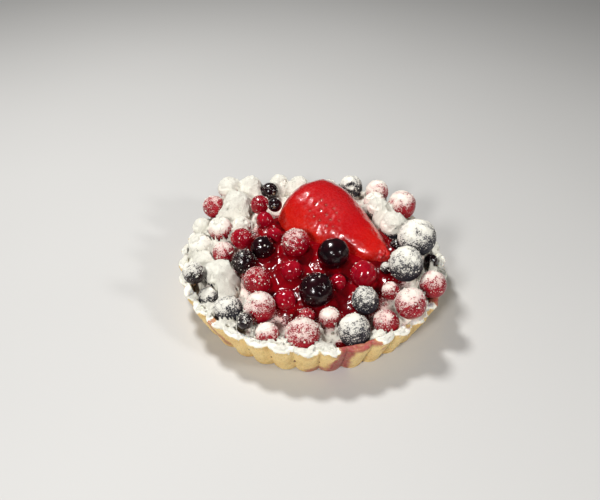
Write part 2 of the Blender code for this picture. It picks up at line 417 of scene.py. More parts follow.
class Overhead:
    """Tells how open the sky is above a point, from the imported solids."""

    def __init__(self):
        points, faces = [], []
        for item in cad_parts.values():
            start = len(points)
            points += [tuple(vert.co) for vert in item.data.vertices]
            faces += [[start + index for index in face.vertices] for face in item.data.polygons]
        self.tree = BVHTree.FromPolygons(points, faces)

    def openness(self, points):
        slants = [SUGAR_FALLS_FROM, Vector((0.35, 0.2, 1.0)), Vector((-0.3, -0.4, 1.0))]
        slants = [slant.normalized() for slant in slants]
        share = np.zeros(len(points))
        for index, point in enumerate(points):
            start = Vector(point)
            hits = sum(self.tree.ray_cast(start, slant)[0] is not None for slant in slants)
            share[index] = 1.0 - hits / len(slants)
        return share


def dusting(points, directions, amount):
    """The sugar on each point of a berry, for the amount that lies on the berry."""
    facing = np.clip((directions @ np.array(SUGAR_FALLS_FROM) + 0.5) / 1.5, 0.0, 1.0)
    patchy = 1.0 + 0.55 * cloudy(points, 2.4 * MM, 21)
    lying = facing * 1.15 * amount**0.85 * patchy + 0.06 * (amount > 0.05)
    buried = smoothstep(0.7, 0.95, amount) * smoothstep(0.1, 0.45, facing)
    return np.clip(np.maximum(lying, buried) * smoothstep(0.04, 0.2, facing), 0.0, 1.0)


def sugared(tree, place, sugar, colour, damp, bare):
    """Mix sugar over a bare finish in grains; where it lies thin it is damp and tinted."""
    fine = remap(tree, grain(tree, place, 0.42 * MM, 2.0, 0.6), 0.3, 0.7)
    coarse = remap(tree, grain(tree, place, 1.4 * MM, 2.0), 0.32, 0.68)
    level = compute(tree, "ADD", compute(tree, "MULTIPLY", fine, 0.62),
                    compute(tree, "MULTIPLY", coarse, 0.38))
    over = compute(tree, "SUBTRACT", compute(tree, "MULTIPLY", sugar, 1.3), level)
    mask = remap(tree, over, -0.05, 0.09, 0.0, 1.0, True)
    mixed = dict(bare)
    veil = compute(tree, "MULTIPLY", remap(tree, sugar, 0.2, 0.85, 0.0, 0.4), coarse)
    bare = {**bare, "Base Color": blend_colours(tree, veil, bare["Base Color"], opaque(damp))}
    thin = remap(tree, sugar, 0.25, 0.8, 0.75, 0.0)
    tone = blend_colours(tree, thin, colour, opaque(damp))
    mixed["Base Color"] = blend_colours(tree, mask, bare["Base Color"], tone)
    mixed["Roughness"] = blend_values(tree, mask, bare["Roughness"], 0.95)
    for key in ("Coat Weight", "Subsurface Weight"):
        if key in bare:
            mixed[key] = blend_values(tree, mask, bare[key], 0.0)
    height = compute(tree, "ADD", compute(tree, "MULTIPLY", mask, 1.0),
                     compute(tree, "MULTIPLY", fine, compute(tree, "MULTIPLY", mask, 0.6)))
    mixed["Normal"] = node(tree, "ShaderNodeBump", {
        "Strength": 0.8, "Distance": 0.2 * MM, "Height": height})
    return mixed


# ------------------------------------------------------------------- settings


def length_setting(name, description, default):
    return bpy.props.FloatProperty(
        name=name, description=description, default=default, unit="LENGTH", precision=5
    )


def share_setting(name, description, default):
    return bpy.props.FloatProperty(
        name=name, description=description, default=default, min=0.0, soft_max=1.0
    )


def colour_setting(name, description, default):
    return bpy.props.FloatVectorProperty(
        name=name, description=description, default=default, subtype="COLOR", min=0.0, max=1.0
    )


class ShellSettings(bpy.types.PropertyGroup):
    flutes: bpy.props.IntProperty(
        name="Flutes", description="How many lobes the tin has", default=35, min=3
    )
    flute_depth: length_setting("Flute depth", "From crest to valley", 1.9 * MM)
    roundness: share_setting("Lobe roundness", "Lower is rounder lobes, sharper valleys", 0.8)
    crumb: length_setting("Crumb relief", "Depth of the pastry's rough surface", 0.32 * MM)
    pastry: colour_setting("Pastry", "Baked shortcrust", (0.9, 0.66, 0.28))
    browned: colour_setting("Browned pastry", "Edges and crests", (0.66, 0.38, 0.1))
    juice: colour_setting("Juice", "Berry juice soaked into the pastry", (0.22, 0.002, 0.022))


class JellySettings(bpy.types.PropertyGroup):
    fullness: length_setting("Fullness", "Extra jelly in the middle", 2.5 * MM)
    climb: length_setting("Climb", "How high the jelly climbs up a berry", 2.2 * MM)
    reach: length_setting("Reach", "How far from a berry the jelly still rises", 2.6 * MM)
    waves: length_setting("Waves", "Unevenness of the jelly", 0.5 * MM)
    damp_sugar: colour_setting("Damp sugar", "Sugar that drinks jelly", (0.6, 0.14, 0.16))
    colour: colour_setting("Jelly", "Red glaze", (0.3, 0.0, 0.004))
    deep: colour_setting("Deep jelly", "Where it lies thick", (0.1, 0.0, 0.002))


class FruitSettings(bpy.types.PropertyGroup):
    lumps: share_setting("Lumps", "Unevenness of a berry, as a share of its radius", 0.055)
    wrinkles: share_setting("Wrinkles", "Depth of fine wrinkles", 0.012)
    redcurrant: colour_setting("Redcurrant", "Skin", (0.24, 0.001, 0.009))
    redcurrant_lit: colour_setting("Redcurrant, lit", "Pulp shining through", (0.46, 0.006, 0.018))
    blackcurrant: colour_setting("Blackcurrant", "Skin", (0.004, 0.001, 0.002))
    blackcurrant_lit: colour_setting("Blackcurrant, red", "Where it thins", (0.035, 0.001, 0.004))
    blueberry: colour_setting("Blueberry", "Skin", (0.007, 0.005, 0.009))
    bloom: colour_setting("Blueberry bloom", "Waxy bloom on the skin", (0.04, 0.042, 0.058))
    withered: colour_setting("Withered", "Dried blossom ends", (0.2, 0.11, 0.05))
    strawberry: colour_setting("Strawberry", "Skin", (0.45, 0.001, 0.003))
    strawberry_pale: colour_setting("Strawberry, pale", "Flesh under skin", (0.52, 0.028, 0.03))
    strawberry_dark: colour_setting("Strawberry, dark", "Ripe shoulder", (0.3, 0.004, 0.006))
    pit_spacing: length_setting("Pit spacing", "Between the strawberry's seeds", 3.3 * MM)
    pit_depth: length_setting("Pit depth", "Of the hollow round a seed", 0.24 * MM)
    seed_length: length_setting("Seed length", "Of one achene", 0.8 * MM)
    seed: colour_setting("Seed", "Achenes", (0.5, 0.13, 0.06))


class SugarSettings(bpy.types.PropertyGroup):
    colour: colour_setting("Sugar", "Icing sugar", (0.92, 0.89, 0.78))
    step: length_setting("Drift step", "Spacing of the drift's points", 0.34 * MM)
    depth: length_setting("Drift depth", "Of a thick layer", 0.35 * MM)
    roughness: length_setting("Drift roughness", "Height of its clots and crumbs", 1.0 * MM)
    heap: length_setting("Heap", "Most sugar that lies beside a buried berry", 8.0 * MM)
    heap_fall: share_setting("Heap fall", "How steeply a heap of sugar falls away", 1.5)
    steepest: share_setting("Steepest drift", "Where a drift tears off", 3.2)
    fill: share_setting("Crevice fill", "How far sugar fills the gaps between berries", 0.72)
    gap: length_setting("Bridged gap", "Widest gap that sugar bridges", 4.6 * MM)
    deepest: length_setting("Deepest fill", "Most sugar that lies in a gap", 4.5 * MM)
    grain_size: length_setting("Grain size", "Of a loose grain", 0.26 * MM)
    grains: bpy.props.IntProperty(
        name="Grains", description="How many loose grains", default=9000, min=0
    )
    clump_size: length_setting("Clump size", "Of a clump of sugar", 0.6 * MM)
    clumps: bpy.props.IntProperty(
        name="Clumps", description="How many clumps", default=1600, min=0
    )


class StageSettings(bpy.types.PropertyGroup):
    floor: colour_setting("Floor", "Plain pale floor", (0.56, 0.55, 0.53))
    key: bpy.props.FloatProperty(
        name="Key light", description="Power of the lamp behind left", default=2.15,
        subtype="POWER", unit="POWER",
    )
    fill: bpy.props.FloatProperty(
        name="Fill light", description="Power of the lamp in front", default=1.95,
        subtype="POWER", unit="POWER",
    )
    sky: share_setting("Sky", "Strength of the light all round", 0.06)
    lens: bpy.props.FloatProperty(
        name="Lens", description="Focal length", default=38.64, subtype="DISTANCE_CAMERA"
    )
    pitch: bpy.props.FloatProperty(
        name="Pitch", description="How far the camera looks down", default=0.6605,
        subtype="ANGLE",
    )
    roll: bpy.props.FloatProperty(
        name="Roll", description="How far the camera leans", default=0.01064, subtype="ANGLE"
    )
    eye: bpy.props.FloatVectorProperty(
        name="Camera place", description="Where the camera stands", size=3,
        default=(-0.0049, -0.1961, 0.1706), subtype="TRANSLATION",
    )


# ------------------------------------------------------------------ the shell


def wall_radius(height):
    """The shell's outer radius at the crest of a flute."""
    return BASE_RADIUS + (RIM_RADIUS - BASE_RADIUS) * height / CRUST_HEIGHT


def shell_profile():
    """The turned outline from the middle of the base round to the recess floor."""
    base_rounding, rim_rounding = 0.8 * MM, 0.9 * MM
    outline = [(0.0, 0.0)]
    outline += [(wall_radius(0.0) * share, 0.0) for share in (0.3, 0.6, 0.9, 0.96)]
    for step in range(5):
        turn = math.pi / 2 * step / 4
        away = wall_radius(base_rounding) - base_rounding * (1.0 - math.sin(turn))
        outline.append((away, base_rounding * (1.0 - math.cos(turn))))
    for step in range(1, 22):
        height = base_rounding + (CRUST_HEIGHT - rim_rounding - base_rounding) * step / 21
        outline.append((wall_radius(height), height))
    top = CRUST_HEIGHT - rim_rounding
    for step in range(1, 6):
        turn = math.pi / 2 * step / 5
        away = wall_radius(top) - rim_rounding * (1.0 - math.cos(turn))
        outline.append((away, top + rim_rounding * math.sin(turn)))
    for step in range(1, 7):
        share = step / 6
        outline.append((
            RIM_RADIUS - rim_rounding + (RIM_INNER_RADIUS - RIM_RADIUS + rim_rounding) * share,
            CRUST_HEIGHT - 0.15 * MM * share,
        ))
    for step in range(1, 9):
        share = step / 8
        outline.append((
            RIM_INNER_RADIUS + (RECESS_RADIUS - RIM_INNER_RADIUS) * share,
            CRUST_HEIGHT + (RECESS_FLOOR - CRUST_HEIGHT) * share,
        ))
    outline += [(RECESS_RADIUS * share, RECESS_FLOOR) for share in (0.66, 0.33)]
    outline.append((0.0, RECESS_FLOOR))
    return outline


def turned_mesh(name, outline, steps):
    """A closed solid turned about Z, from the middle of its base up its outer side."""
    inner = outline[1:-1]
    angles = np.arange(steps) * math.tau / steps
    rows = [
        np.stack([away * np.cos(angles), away * np.sin(angles), 0 * angles + high], -1)
        for away, high in inner
    ]
    points = np.concatenate(rows + [np.array([(0, 0, outline[0][1]), (0, 0, outline[-1][1])])])
    faces = grid_faces(len(inner), steps)
    faces += pole_faces(len(inner), steps, len(points) - 2, len(points) - 1)
    return build_mesh(name, points, faces)


def flute_tree():
    """Presses the flutes into a turned shell: the outer wall moves in between crests."""
    tree, start, end = new_tree("Flutes", [
        ("Flutes", "NodeSocketInt"),
        ("Depth", "NodeSocketFloat"),
        ("Roundness", "NodeSocketFloat"),
        ("Material", "NodeSocketMaterial"),
    ])
    place = node(tree, "GeometryNodeInputPosition")
    split = node(tree, "ShaderNodeSeparateXYZ", {0: place}).node
    bearing = compute(tree, "ARCTAN2", split.outputs[1], split.outputs[0])
    half_turns = compute(tree, "MULTIPLY", start.outputs["Flutes"], 0.5)
    wave = compute(tree, "COSINE", compute(tree, "MULTIPLY", bearing, half_turns))
    lobe = compute(tree, "POWER", compute(tree, "ABSOLUTE", wave), start.outputs["Roundness"])
    pressed = compute(tree, "MULTIPLY", compute(tree, "SUBTRACT", 1.0, lobe),
                      start.outputs["Depth"])
    outer = node(tree, "GeometryNodeInputNamedAttribute", {"Name": "outer"},
                 data_type="FLOAT")
    pressed = compute(tree, "MULTIPLY", pressed, outer)
    flat = node(tree, "ShaderNodeVectorMath", {0: place, 1: (1.0, 1.0, 0.0)},
                operation="MULTIPLY")
    inwards = node(tree, "ShaderNodeVectorMath", {0: flat}, operation="NORMALIZE")
    away = compute(tree, "MULTIPLY", pressed, -1.0)
    offset = node(tree, "ShaderNodeVectorMath", {0: inwards, "Scale": away},
                  operation="SCALE")
    moved = node(tree, "GeometryNodeSetPosition", {
        "Geometry": start.outputs["Geometry"], "Offset": offset})
    real = node(tree, "GeometryNodeRealizeInstances", {"Geometry": moved})
    done = node(tree, "GeometryNodeSetMaterial", {
        "Geometry": real, "Material": start.outputs["Material"]})
    tree.links.new(done, end.inputs["Geometry"])
    return tree


def pastry_material(settings, sugar_colour):
    """Shortcrust: golden crumb, browner edges, soaked-in juice and fallen sugar."""
    material, tree, shader = new_material("shortcrust")
    place = object_place(tree)
    broad = remap(tree, grain(tree, place, 7.0 * MM, 3.0), 0.35, 0.68)
    crumb = remap(tree, grain(tree, place, 1.1 * MM, 4.0, 0.65), 0.3, 0.7)
    pores = remap(tree, grain(tree, place, 0.5 * MM, 2.0), 0.34, 0.46)
    browned = compute(tree, "MULTIPLY", attribute(tree, "browned"), broad)
    colour = blend_colours(tree, browned, opaque(settings.pastry), opaque(settings.browned))
    pale = compute(tree, "MULTIPLY", crumb, 0.3)
    colour = blend_colours(tree, pale, colour, PALE_CRUMB)
    # dark specks where the noise marks pores: painted shade of holes in the crumb
    dark = compute(tree, "MULTIPLY", compute(tree, "SUBTRACT", 1.0, pores), 0.35)
    colour = blend_colours(tree, dark, colour, PORE_SHADE)
    soaked = compute(tree, "MULTIPLY", attribute(tree, "juice"),
                     remap(tree, crumb, 0.0, 1.0, 0.7, 1.0))
    juice = blend_colours(tree, crumb, opaque(settings.juice), THIN_JUICE)
    colour = blend_colours(tree, soaked, colour, juice)
    wet = blend_values(tree, attribute(tree, "juice"), 0.78, 0.35)
    bare = {"Base Color": colour, "Roughness": wet}
    mixed = sugared(tree, place, attribute(tree, "sugar"), opaque(sugar_colour),
                    settings.pastry, bare)
    rough = node(tree, "ShaderNodeBump", {
        "Strength": 0.5, "Distance": 0.3 * MM, "Height": crumb, "Normal": mixed["Normal"]})
    mixed["Normal"] = rough
    plug(tree, shader, mixed)
    plug(tree, shader, {
        "Subsurface Weight": 0.15,
        "Subsurface Radius": (1.0, 0.5, 0.25),
        "Subsurface Scale": 1.5 * MM,
    })
    return material


def make_shell(scene):
    settings = scene.tart_shell
    mesh = turned_mesh("shell", shell_profile(), settings.flutes * 24)
    points = coordinates(mesh)
    away = np.hypot(points[:, 0], points[:, 1])
    inner = RIM_INNER_RADIUS - 1.2 * MM
    outer = smoothstep(wall_radius(points[:, 2]) - 2.4 * MM, wall_radius(points[:, 2]) - 0.9 * MM,
                       away)
    outer *= away > inner - 10 * MM
    set_values(mesh, "outer", outer)
    mesh = grow(mesh, flute_tree(), {
        "Flutes": settings.flutes,
        "Depth": settings.flute_depth,
        "Roundness": settings.roundness,
        "Material": pastry_material(settings, scene.tart_sugar.colour),
    })
    points, directions = coordinates(mesh), normals(mesh)
    height = points[:, 2]
    rough = cloudy(points, 2.2 * MM, 1) * 0.7 + cloudy(points, 0.9 * MM, 5) * 0.6
    rough -= smoothstep(0.45, 0.8, noise(points, 1.6 * MM, 8)) * 0.9
    above_base = smoothstep(0.1 * MM, 1.5 * MM, height)
    sag = noise(points * (1, 1, 0.2), 11.0 * MM, 3) * 0.5 * MM
    points += directions * (rough * settings.crumb * above_base)[:, None]
    points[:, 2] += sag * smoothstep(8.0 * MM, 15.0 * MM, height)
    away = np.hypot(points[:, 0], points[:, 1])
    over_rim = smoothstep(13.6 * MM, 14.6 * MM, height + noise(points, 1.6 * MM, 13) * 0.7 * MM)
    juice = juice_share(points)
    sugar = over_rim * (0.95 + 0.3 * cloudy(points, 2.5 * MM, 17))
    sugar *= 1.0 - smoothstep(0.35, 0.8, juice)
    browned = smoothstep(10.5 * MM, 14.5 * MM, height) * 0.8
    browned += (1.0 - smoothstep(0.5 * MM, 3.5 * MM, height)) * 0.7
    browned += 0.35 + 0.35 * cloudy(points, 6.0 * MM, 19)
    move_points(mesh, points)
    set_values(mesh, "sugar", np.clip(sugar, 0, 1))
    set_values(mesh, "juice", juice)
    set_values(mesh, "browned", np.clip(browned, 0, 1))
    mesh.shade_smooth()
    remember(mesh, np.clip(sugar, 0, 1), np.clip(1.0 - juice, 0, 1), 0.4)
    add_piece("fluted_shell", mesh, None, ("crust",))


# ------------------------------------------------------------------ the jelly


def bed_height(x, y):
    """The height of the jelly before it climbs the fruit."""
    back = smoothstep(BED_RISE_FROM, BED_RISE_TO, y)
    edge = BED_FRONT_EDGE + (BED_BACK_EDGE - BED_FRONT_EDGE) * back
    fall = BED_FRONT_FALL + (BED_BACK_FALL - BED_FRONT_FALL) * back
    peak_x, peak_y = BED_PEAK_PLACE
    away_x, away_y = x - peak_x, y - peak_y
    away = np.maximum(np.hypot(away_x, away_y), 1e-6)
    towards = (peak_x * away_x + peak_y * away_y) / away
    room = BED_RADIUS**2 - peak_x**2 - peak_y**2
    to_edge = np.sqrt(towards**2 + room) - towards
    out = np.minimum(1.0, away / to_edge)
    return edge + (BED_PEAK - edge) * (1.0 - out**fall)


def berry_places():
    """Every berry node with its middle and its radius."""
    found = {}
    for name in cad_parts:
        kind = name.rsplit("_", 1)[0]
        if kind in SUGAR_ON:
            low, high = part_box(name)
            found[name] = ((low + high) / 2.0, max(high - low) / 2.0)
    return found


def strawberry_outline(along):
    """The half's width as a share of the widest, from wide end -1 to tip +1."""

    def width(at):
        rounding = np.sqrt(np.maximum(0.0, 1.0 - at * at))
        return rounding * (1.0 - STRAWBERRY_TAPER * at + STRAWBERRY_BELLY * at * at)

    return width(along) / width(STRAWBERRY_WIDEST)


def strawberry_frame(points):
    """Points in the strawberry's own directions: along, across and up, in metres."""
    cos, sin = math.cos(STRAWBERRY_TURN), math.sin(STRAWBERRY_TURN)
    local = points - STRAWBERRY_PLACE
    along = local[:, 0] * cos + local[:, 1] * sin
    across = -local[:, 0] * sin + local[:, 1] * cos
    return along, across, local[:, 2]


def jelly_height(x, y, settings):
    """The bed, climbing the berries and the strawberry that stand in it."""
    base = bed_height(x, y) + settings.fullness * (1.0 - bare_share(x, y))
    climb = np.zeros_like(base)
    for middle, radius in berry_places().values():
        away = np.hypot(x - middle.x, y - middle.y)
        bare = bare_share(np.array([middle.x]), np.array([middle.y]))[0]
        highest = middle.z + radius * (0.35 - 0.3 * bare)
        lift = np.clip(highest - base, 0.0, settings.climb * (0.6 + 0.4 * bare))
        near = np.maximum(0.0, away - 0.92 * radius) / settings.reach
        climb = np.maximum(climb, lift * np.exp(-near**1.3))
    along, across, _ = strawberry_frame(np.stack([x, y, 0 * x], -1))
    share = along / (STRAWBERRY_LENGTH / 2.0)
    half = strawberry_outline(np.clip(share, -1, 1)) * STRAWBERRY_WIDTH / 2.0
    beyond = np.hypot(np.maximum(0.0, np.abs(across) - half),
                      np.maximum(0.0, np.abs(share) - 1.0) * STRAWBERRY_LENGTH / 2.0)
    under = STRAWBERRY_PLACE[2] + 0.8 * MM - base
    climb = np.maximum(climb, np.clip(under, 0, 4 * MM) * np.exp(-(beyond / (2.2 * MM)) ** 1.3))
    inside = smoothstep(-1.5 * MM, -3.0 * MM, np.abs(across) - half) * (np.abs(share) < 0.95)
    flat = STRAWBERRY_PLACE[2] - 0.3 * MM
    full = base + climb
    return np.where(inside > 0, full + (np.minimum(full, flat) - full) * inside, full)


def jelly_material(settings, sugar_colour):
    """Clear red glaze over deep red juice, dusted towards the rim."""
    material, tree, shader = new_material("jelly")
    place = object_place(tree)
    cloud = remap(tree, grain(tree, place, 6.0 * MM, 2.0), 0.35, 0.65)
    share = compute(tree, "MULTIPLY", cloud, 0.8)
    colour = blend_colours(tree, share, opaque(settings.deep), opaque(settings.colour))
    bare = {"Base Color": colour, "Roughness": 0.16, "Coat Weight": 0.5,
            "Subsurface Weight": 0.35}
    mixed = sugared(tree, place, attribute(tree, "sugar"), opaque(sugar_colour),
                    settings.damp_sugar, bare)
    ripple = node(tree, "ShaderNodeBump", {
        "Strength": 0.3, "Distance": 0.4 * MM, "Height": grain(tree, place, 1.3 * MM, 2.0),
        "Normal": mixed["Normal"]})
    mixed["Normal"] = ripple
    plug(tree, shader, mixed)
    plug(tree, shader, {
        "Coat Roughness": 0.06,
        "Coat IOR": 1.3,
        "Specular IOR Level": 0.25,
        "Subsurface Radius": (1.0, 0.12, 0.1),
        "Subsurface Scale": 2.5 * MM,
    })
    return material


def make_jelly(scene):
    settings = scene.tart_jelly
    rings, steps = 112, 300
    angles = np.arange(steps) * math.tau / steps
    edge = BED_RADIUS + 0.5 * MM
    rows = []
    for ring in range(1, rings + 1):
        away = edge * ring / rings
        x, y = away * np.cos(angles), away * np.sin(angles)
        z = jelly_height(x, y, settings)
        rows.append(np.stack([x, y, z], -1))
    zero = np.zeros(1)
    peak = np.array([(0.0, 0.0, jelly_height(zero, zero, settings)[0])])
    points = np.concatenate([np.concatenate(rows), peak])
    waves = cloudy(points, 3.5 * MM, 31) * settings.waves
    points[:, 2] += waves
    top_count = len(points)
    rim = np.stack([edge * np.cos(angles), edge * np.sin(angles), 0 * angles + BED_BOTTOM], -1)
    points = np.concatenate([points, rim, [(0.0, 0.0, BED_BOTTOM)]])
    faces = [(a, d, c, b) for a, b, c, d in grid_faces(rings, steps)]
    last = (rings - 1) * steps
    for index in range(steps):
        after = (index + 1) % steps
        faces.append((top_count - 1, index, after))
        faces.append((last + index, top_count + index, top_count + after, last + after))
        faces.append((top_count + index, len(points) - 1, top_count + after))
    mesh = build_mesh("jelly", points, faces)
    open_sky = bare_share(points[:, 0], points[:, 1])
    patchy = 0.72 + 0.35 * cloudy(points, 4.0 * MM, 33)
    sugar = np.clip(open_sky * patchy, 0.0, 1.0) * (np.arange(len(points)) < top_count)
    wet_front = juice_share(points * (1.0, 1.0, 0.0) + (0.0, 0.0, 14.0 * MM))
    near_rim = smoothstep(40 * MM, 44 * MM, np.hypot(points[:, 0], points[:, 1]))
    sugar *= 1.0 - wet_front * near_rim
    set_values(mesh, "sugar", sugar)
    remember(mesh, sugar, sugar, 1.0)
    material = jelly_material(settings, scene.tart_sugar.colour)
    add_piece("red_jelly", mesh, material, ("jelly_bed",))


# ------------------------------------------------------------- the strawberry


def strawberry_surface(share, turn):
    """A point of the half: share along from -1 to 1, turn round from the right side."""
    width = strawberry_outline(share)
    across = np.cos(turn) * width * STRAWBERRY_WIDTH / 2.0
    top = np.sin(turn) * width * STRAWBERRY_HEIGHT
    up = np.where(np.sin(turn) >= 0.0, top, np.sin(turn) * width * 0.5 * MM)
    along = share * STRAWBERRY_LENGTH / 2.0
    cos, sin = math.cos(STRAWBERRY_TURN), math.sin(STRAWBERRY_TURN)
    local = np.stack([along * cos - across * sin, along * sin + across * cos, up], -1)
    return local + STRAWBERRY_PLACE


def seed_places(settings):
    """Seeds in staggered rows round the half, closer together at its tip."""
    found = []
    share, row = -0.93, 0
    while share < 0.95:
        width = float(strawberry_outline(np.array(share)))
        arc = math.pi * (STRAWBERRY_WIDTH / 2 + STRAWBERRY_HEIGHT) / 2 * width
        spacing = settings.pit_spacing * (1.0 - 0.25 * max(0.0, share))
        count = max(2, round(arc / spacing))
        for index in range(count):
            turn = math.pi * (index + 0.25 + 0.5 * (row % 2)) / count
            jitter = noise(np.array([(share, turn, row), (turn, row, share)]) + 0.37, 0.21, 41)
            found.append((share + 0.03 * jitter[0], turn + 0.09 * jitter[1]))
        share += 1.7 * spacing / STRAWBERRY_LENGTH
        row += 1
    found = np.array(found)
    return strawberry_surface(found[:, 0], found[:, 1])


def seeds_shown(share, side):
    """How far the seeds stand out of the glaze: most on the belly and the wide end."""
    belly = np.exp(-(((share + 0.1) / 0.32) ** 2) - ((side + 0.38) / 0.32) ** 2)
    shoulder = smoothstep(-0.5, -0.85, share) * 0.5
    return np.clip(belly * 1.35 - 0.1 + shoulder, 0.0, 1.0)


def seed_tree():
    """Lays a seed on every point, turned to stand on the skin."""
    tree, start, end = new_tree("Seeds", [
        ("Length", "NodeSocketFloat"),
        ("Material", "NodeSocketMaterial"),
    ])
    ball = node(tree, "GeometryNodeMeshUVSphere", {
        "Segments": 10, "Rings": 7, "Radius": 0.5})
    shaped = node(tree, "GeometryNodeTransform", {
        "Geometry": ball, "Scale": (1.0, 0.62, 0.42)})
    points = node(tree, "GeometryNodeMeshToPoints", {"Mesh": start.outputs["Geometry"]})
    facing = node(tree, "GeometryNodeInputNamedAttribute", {"Name": "facing"},
                  data_type="FLOAT_VECTOR")
    turned = node(tree, "FunctionNodeAlignRotationToVector", {"Vector": facing}, axis="Z")
    placed = node(tree, "GeometryNodeInstanceOnPoints", {
        "Points": points, "Instance": shaped, "Rotation": turned,
        "Scale": start.outputs["Length"]})
    real = node(tree, "GeometryNodeRealizeInstances", {"Geometry": placed})
    smooth = node(tree, "GeometryNodeSetShadeSmooth", {"Geometry": real})
    done = node(tree, "GeometryNodeSetMaterial", {
        "Geometry": smooth, "Material": start.outputs["Material"]})
    tree.links.new(done, end.inputs["Geometry"])
    return tree


def strawberry_material(settings):
    """Wet skin: deep red, paler over the belly, with painted shade darkening its seed pits."""
    material, tree, shader = new_material("strawberry_skin")
    place = object_place(tree)
    cloud = remap(tree, grain(tree, place, 5.0 * MM, 3.0), 0.35, 0.68)
    mottle = remap(tree, grain(tree, place, 0.9 * MM, 2.0), 0.35, 0.65)
    colour = blend_colours(tree, compute(tree, "MULTIPLY", attribute(tree, "dark"), cloud),
                           opaque(settings.strawberry), opaque(settings.strawberry_dark))
    pale = compute(tree, "MULTIPLY", attribute(tree, "pale"),
                   remap(tree, mottle, 0.0, 1.0, 0.6, 1.0))
    colour = blend_colours(tree, pale, colour, opaque(settings.strawberry_pale))
    # orange at the tip is the skin's own colour; along the front edge it is painted glow of light
    # shining through
    colour = blend_colours(tree, attribute(tree, "tip_warmth_and_edge_glow"), colour, WARM_SKIN_AND_EDGE_GLOW)
    # painted shade: the skin is darkened in the dimples round the seeds
    pit = compute(tree, "MULTIPLY", attribute(tree, "pit"), 0.75)
    colour = blend_colours(tree, pit, colour, PIT_SHADE_RED)
    ripple = node(tree, "ShaderNodeBump", {
        "Strength": 0.25, "Distance": 0.35 * MM, "Height": grain(tree, place, 1.8 * MM, 2.0)})
    glaze = node(tree, "ShaderNodeBump", {
        "Strength": 0.5, "Distance": 0.45 * MM, "Height": grain(tree, place, 1.5 * MM, 2.0)})
    plug(tree, shader, {
        "Base Color": colour,
        "Roughness": blend_values(tree, mottle, 0.2, 0.34),
        "Normal": ripple,
        "Coat Normal": glaze,
        "Coat Weight": 0.85,
        "Coat Roughness": 0.05,
        "Coat IOR": 1.35,
        "Specular IOR Level": 0.3,
        "Subsurface Weight": 0.3,
        "Subsurface Radius": (1.0, 0.1, 0.06),
        "Subsurface Scale": 2.0 * MM,
    })
    return material


def seed_material(settings):
    material, tree, shader = new_material("seed")
    mottle = remap(tree, grain(tree, object_place(tree), 0.4 * MM), 0.3, 0.7)
    colour = blend_colours(tree, mottle, opaque(settings.seed), SEED_RED)
    plug(tree, shader, {
        "Base Color": colour, "Roughness": 0.3, "Coat Weight": 0.7, "Coat Roughness": 0.08})
    return material


def add_seeds(settings, seeds, points, faces):
    """Stand the seeds on the skin, sunk where they don't show."""
    standing = []
    tree = BVHTree.FromPolygons(points.tolist(), faces)
    along, across, _ = strawberry_frame(seeds)
    shown = seeds_shown(along / (STRAWBERRY_LENGTH / 2), across / (STRAWBERRY_WIDTH / 2))
    for seed, share in zip(seeds, shown):
        near = tree.find_nearest(Vector(seed))
        sunk = (share - 0.7) * 0.5 * MM
        standing.append((near[0] + near[1] * sunk, near[1]))
    carrier = bpy.data.meshes.new("seed_points")
    carrier.from_pydata([tuple(at) for at, _ in standing], [], [])
    layer = carrier.attributes.new("facing", "FLOAT_VECTOR", "POINT")
    layer.data.foreach_set("vector", np.array([tuple(out) for _, out in standing]).ravel())
    mesh = grow(carrier, seed_tree(), {
        "Length": settings.seed_length, "Material": seed_material(settings)})
    add_piece("strawberry_seeds", mesh, None)


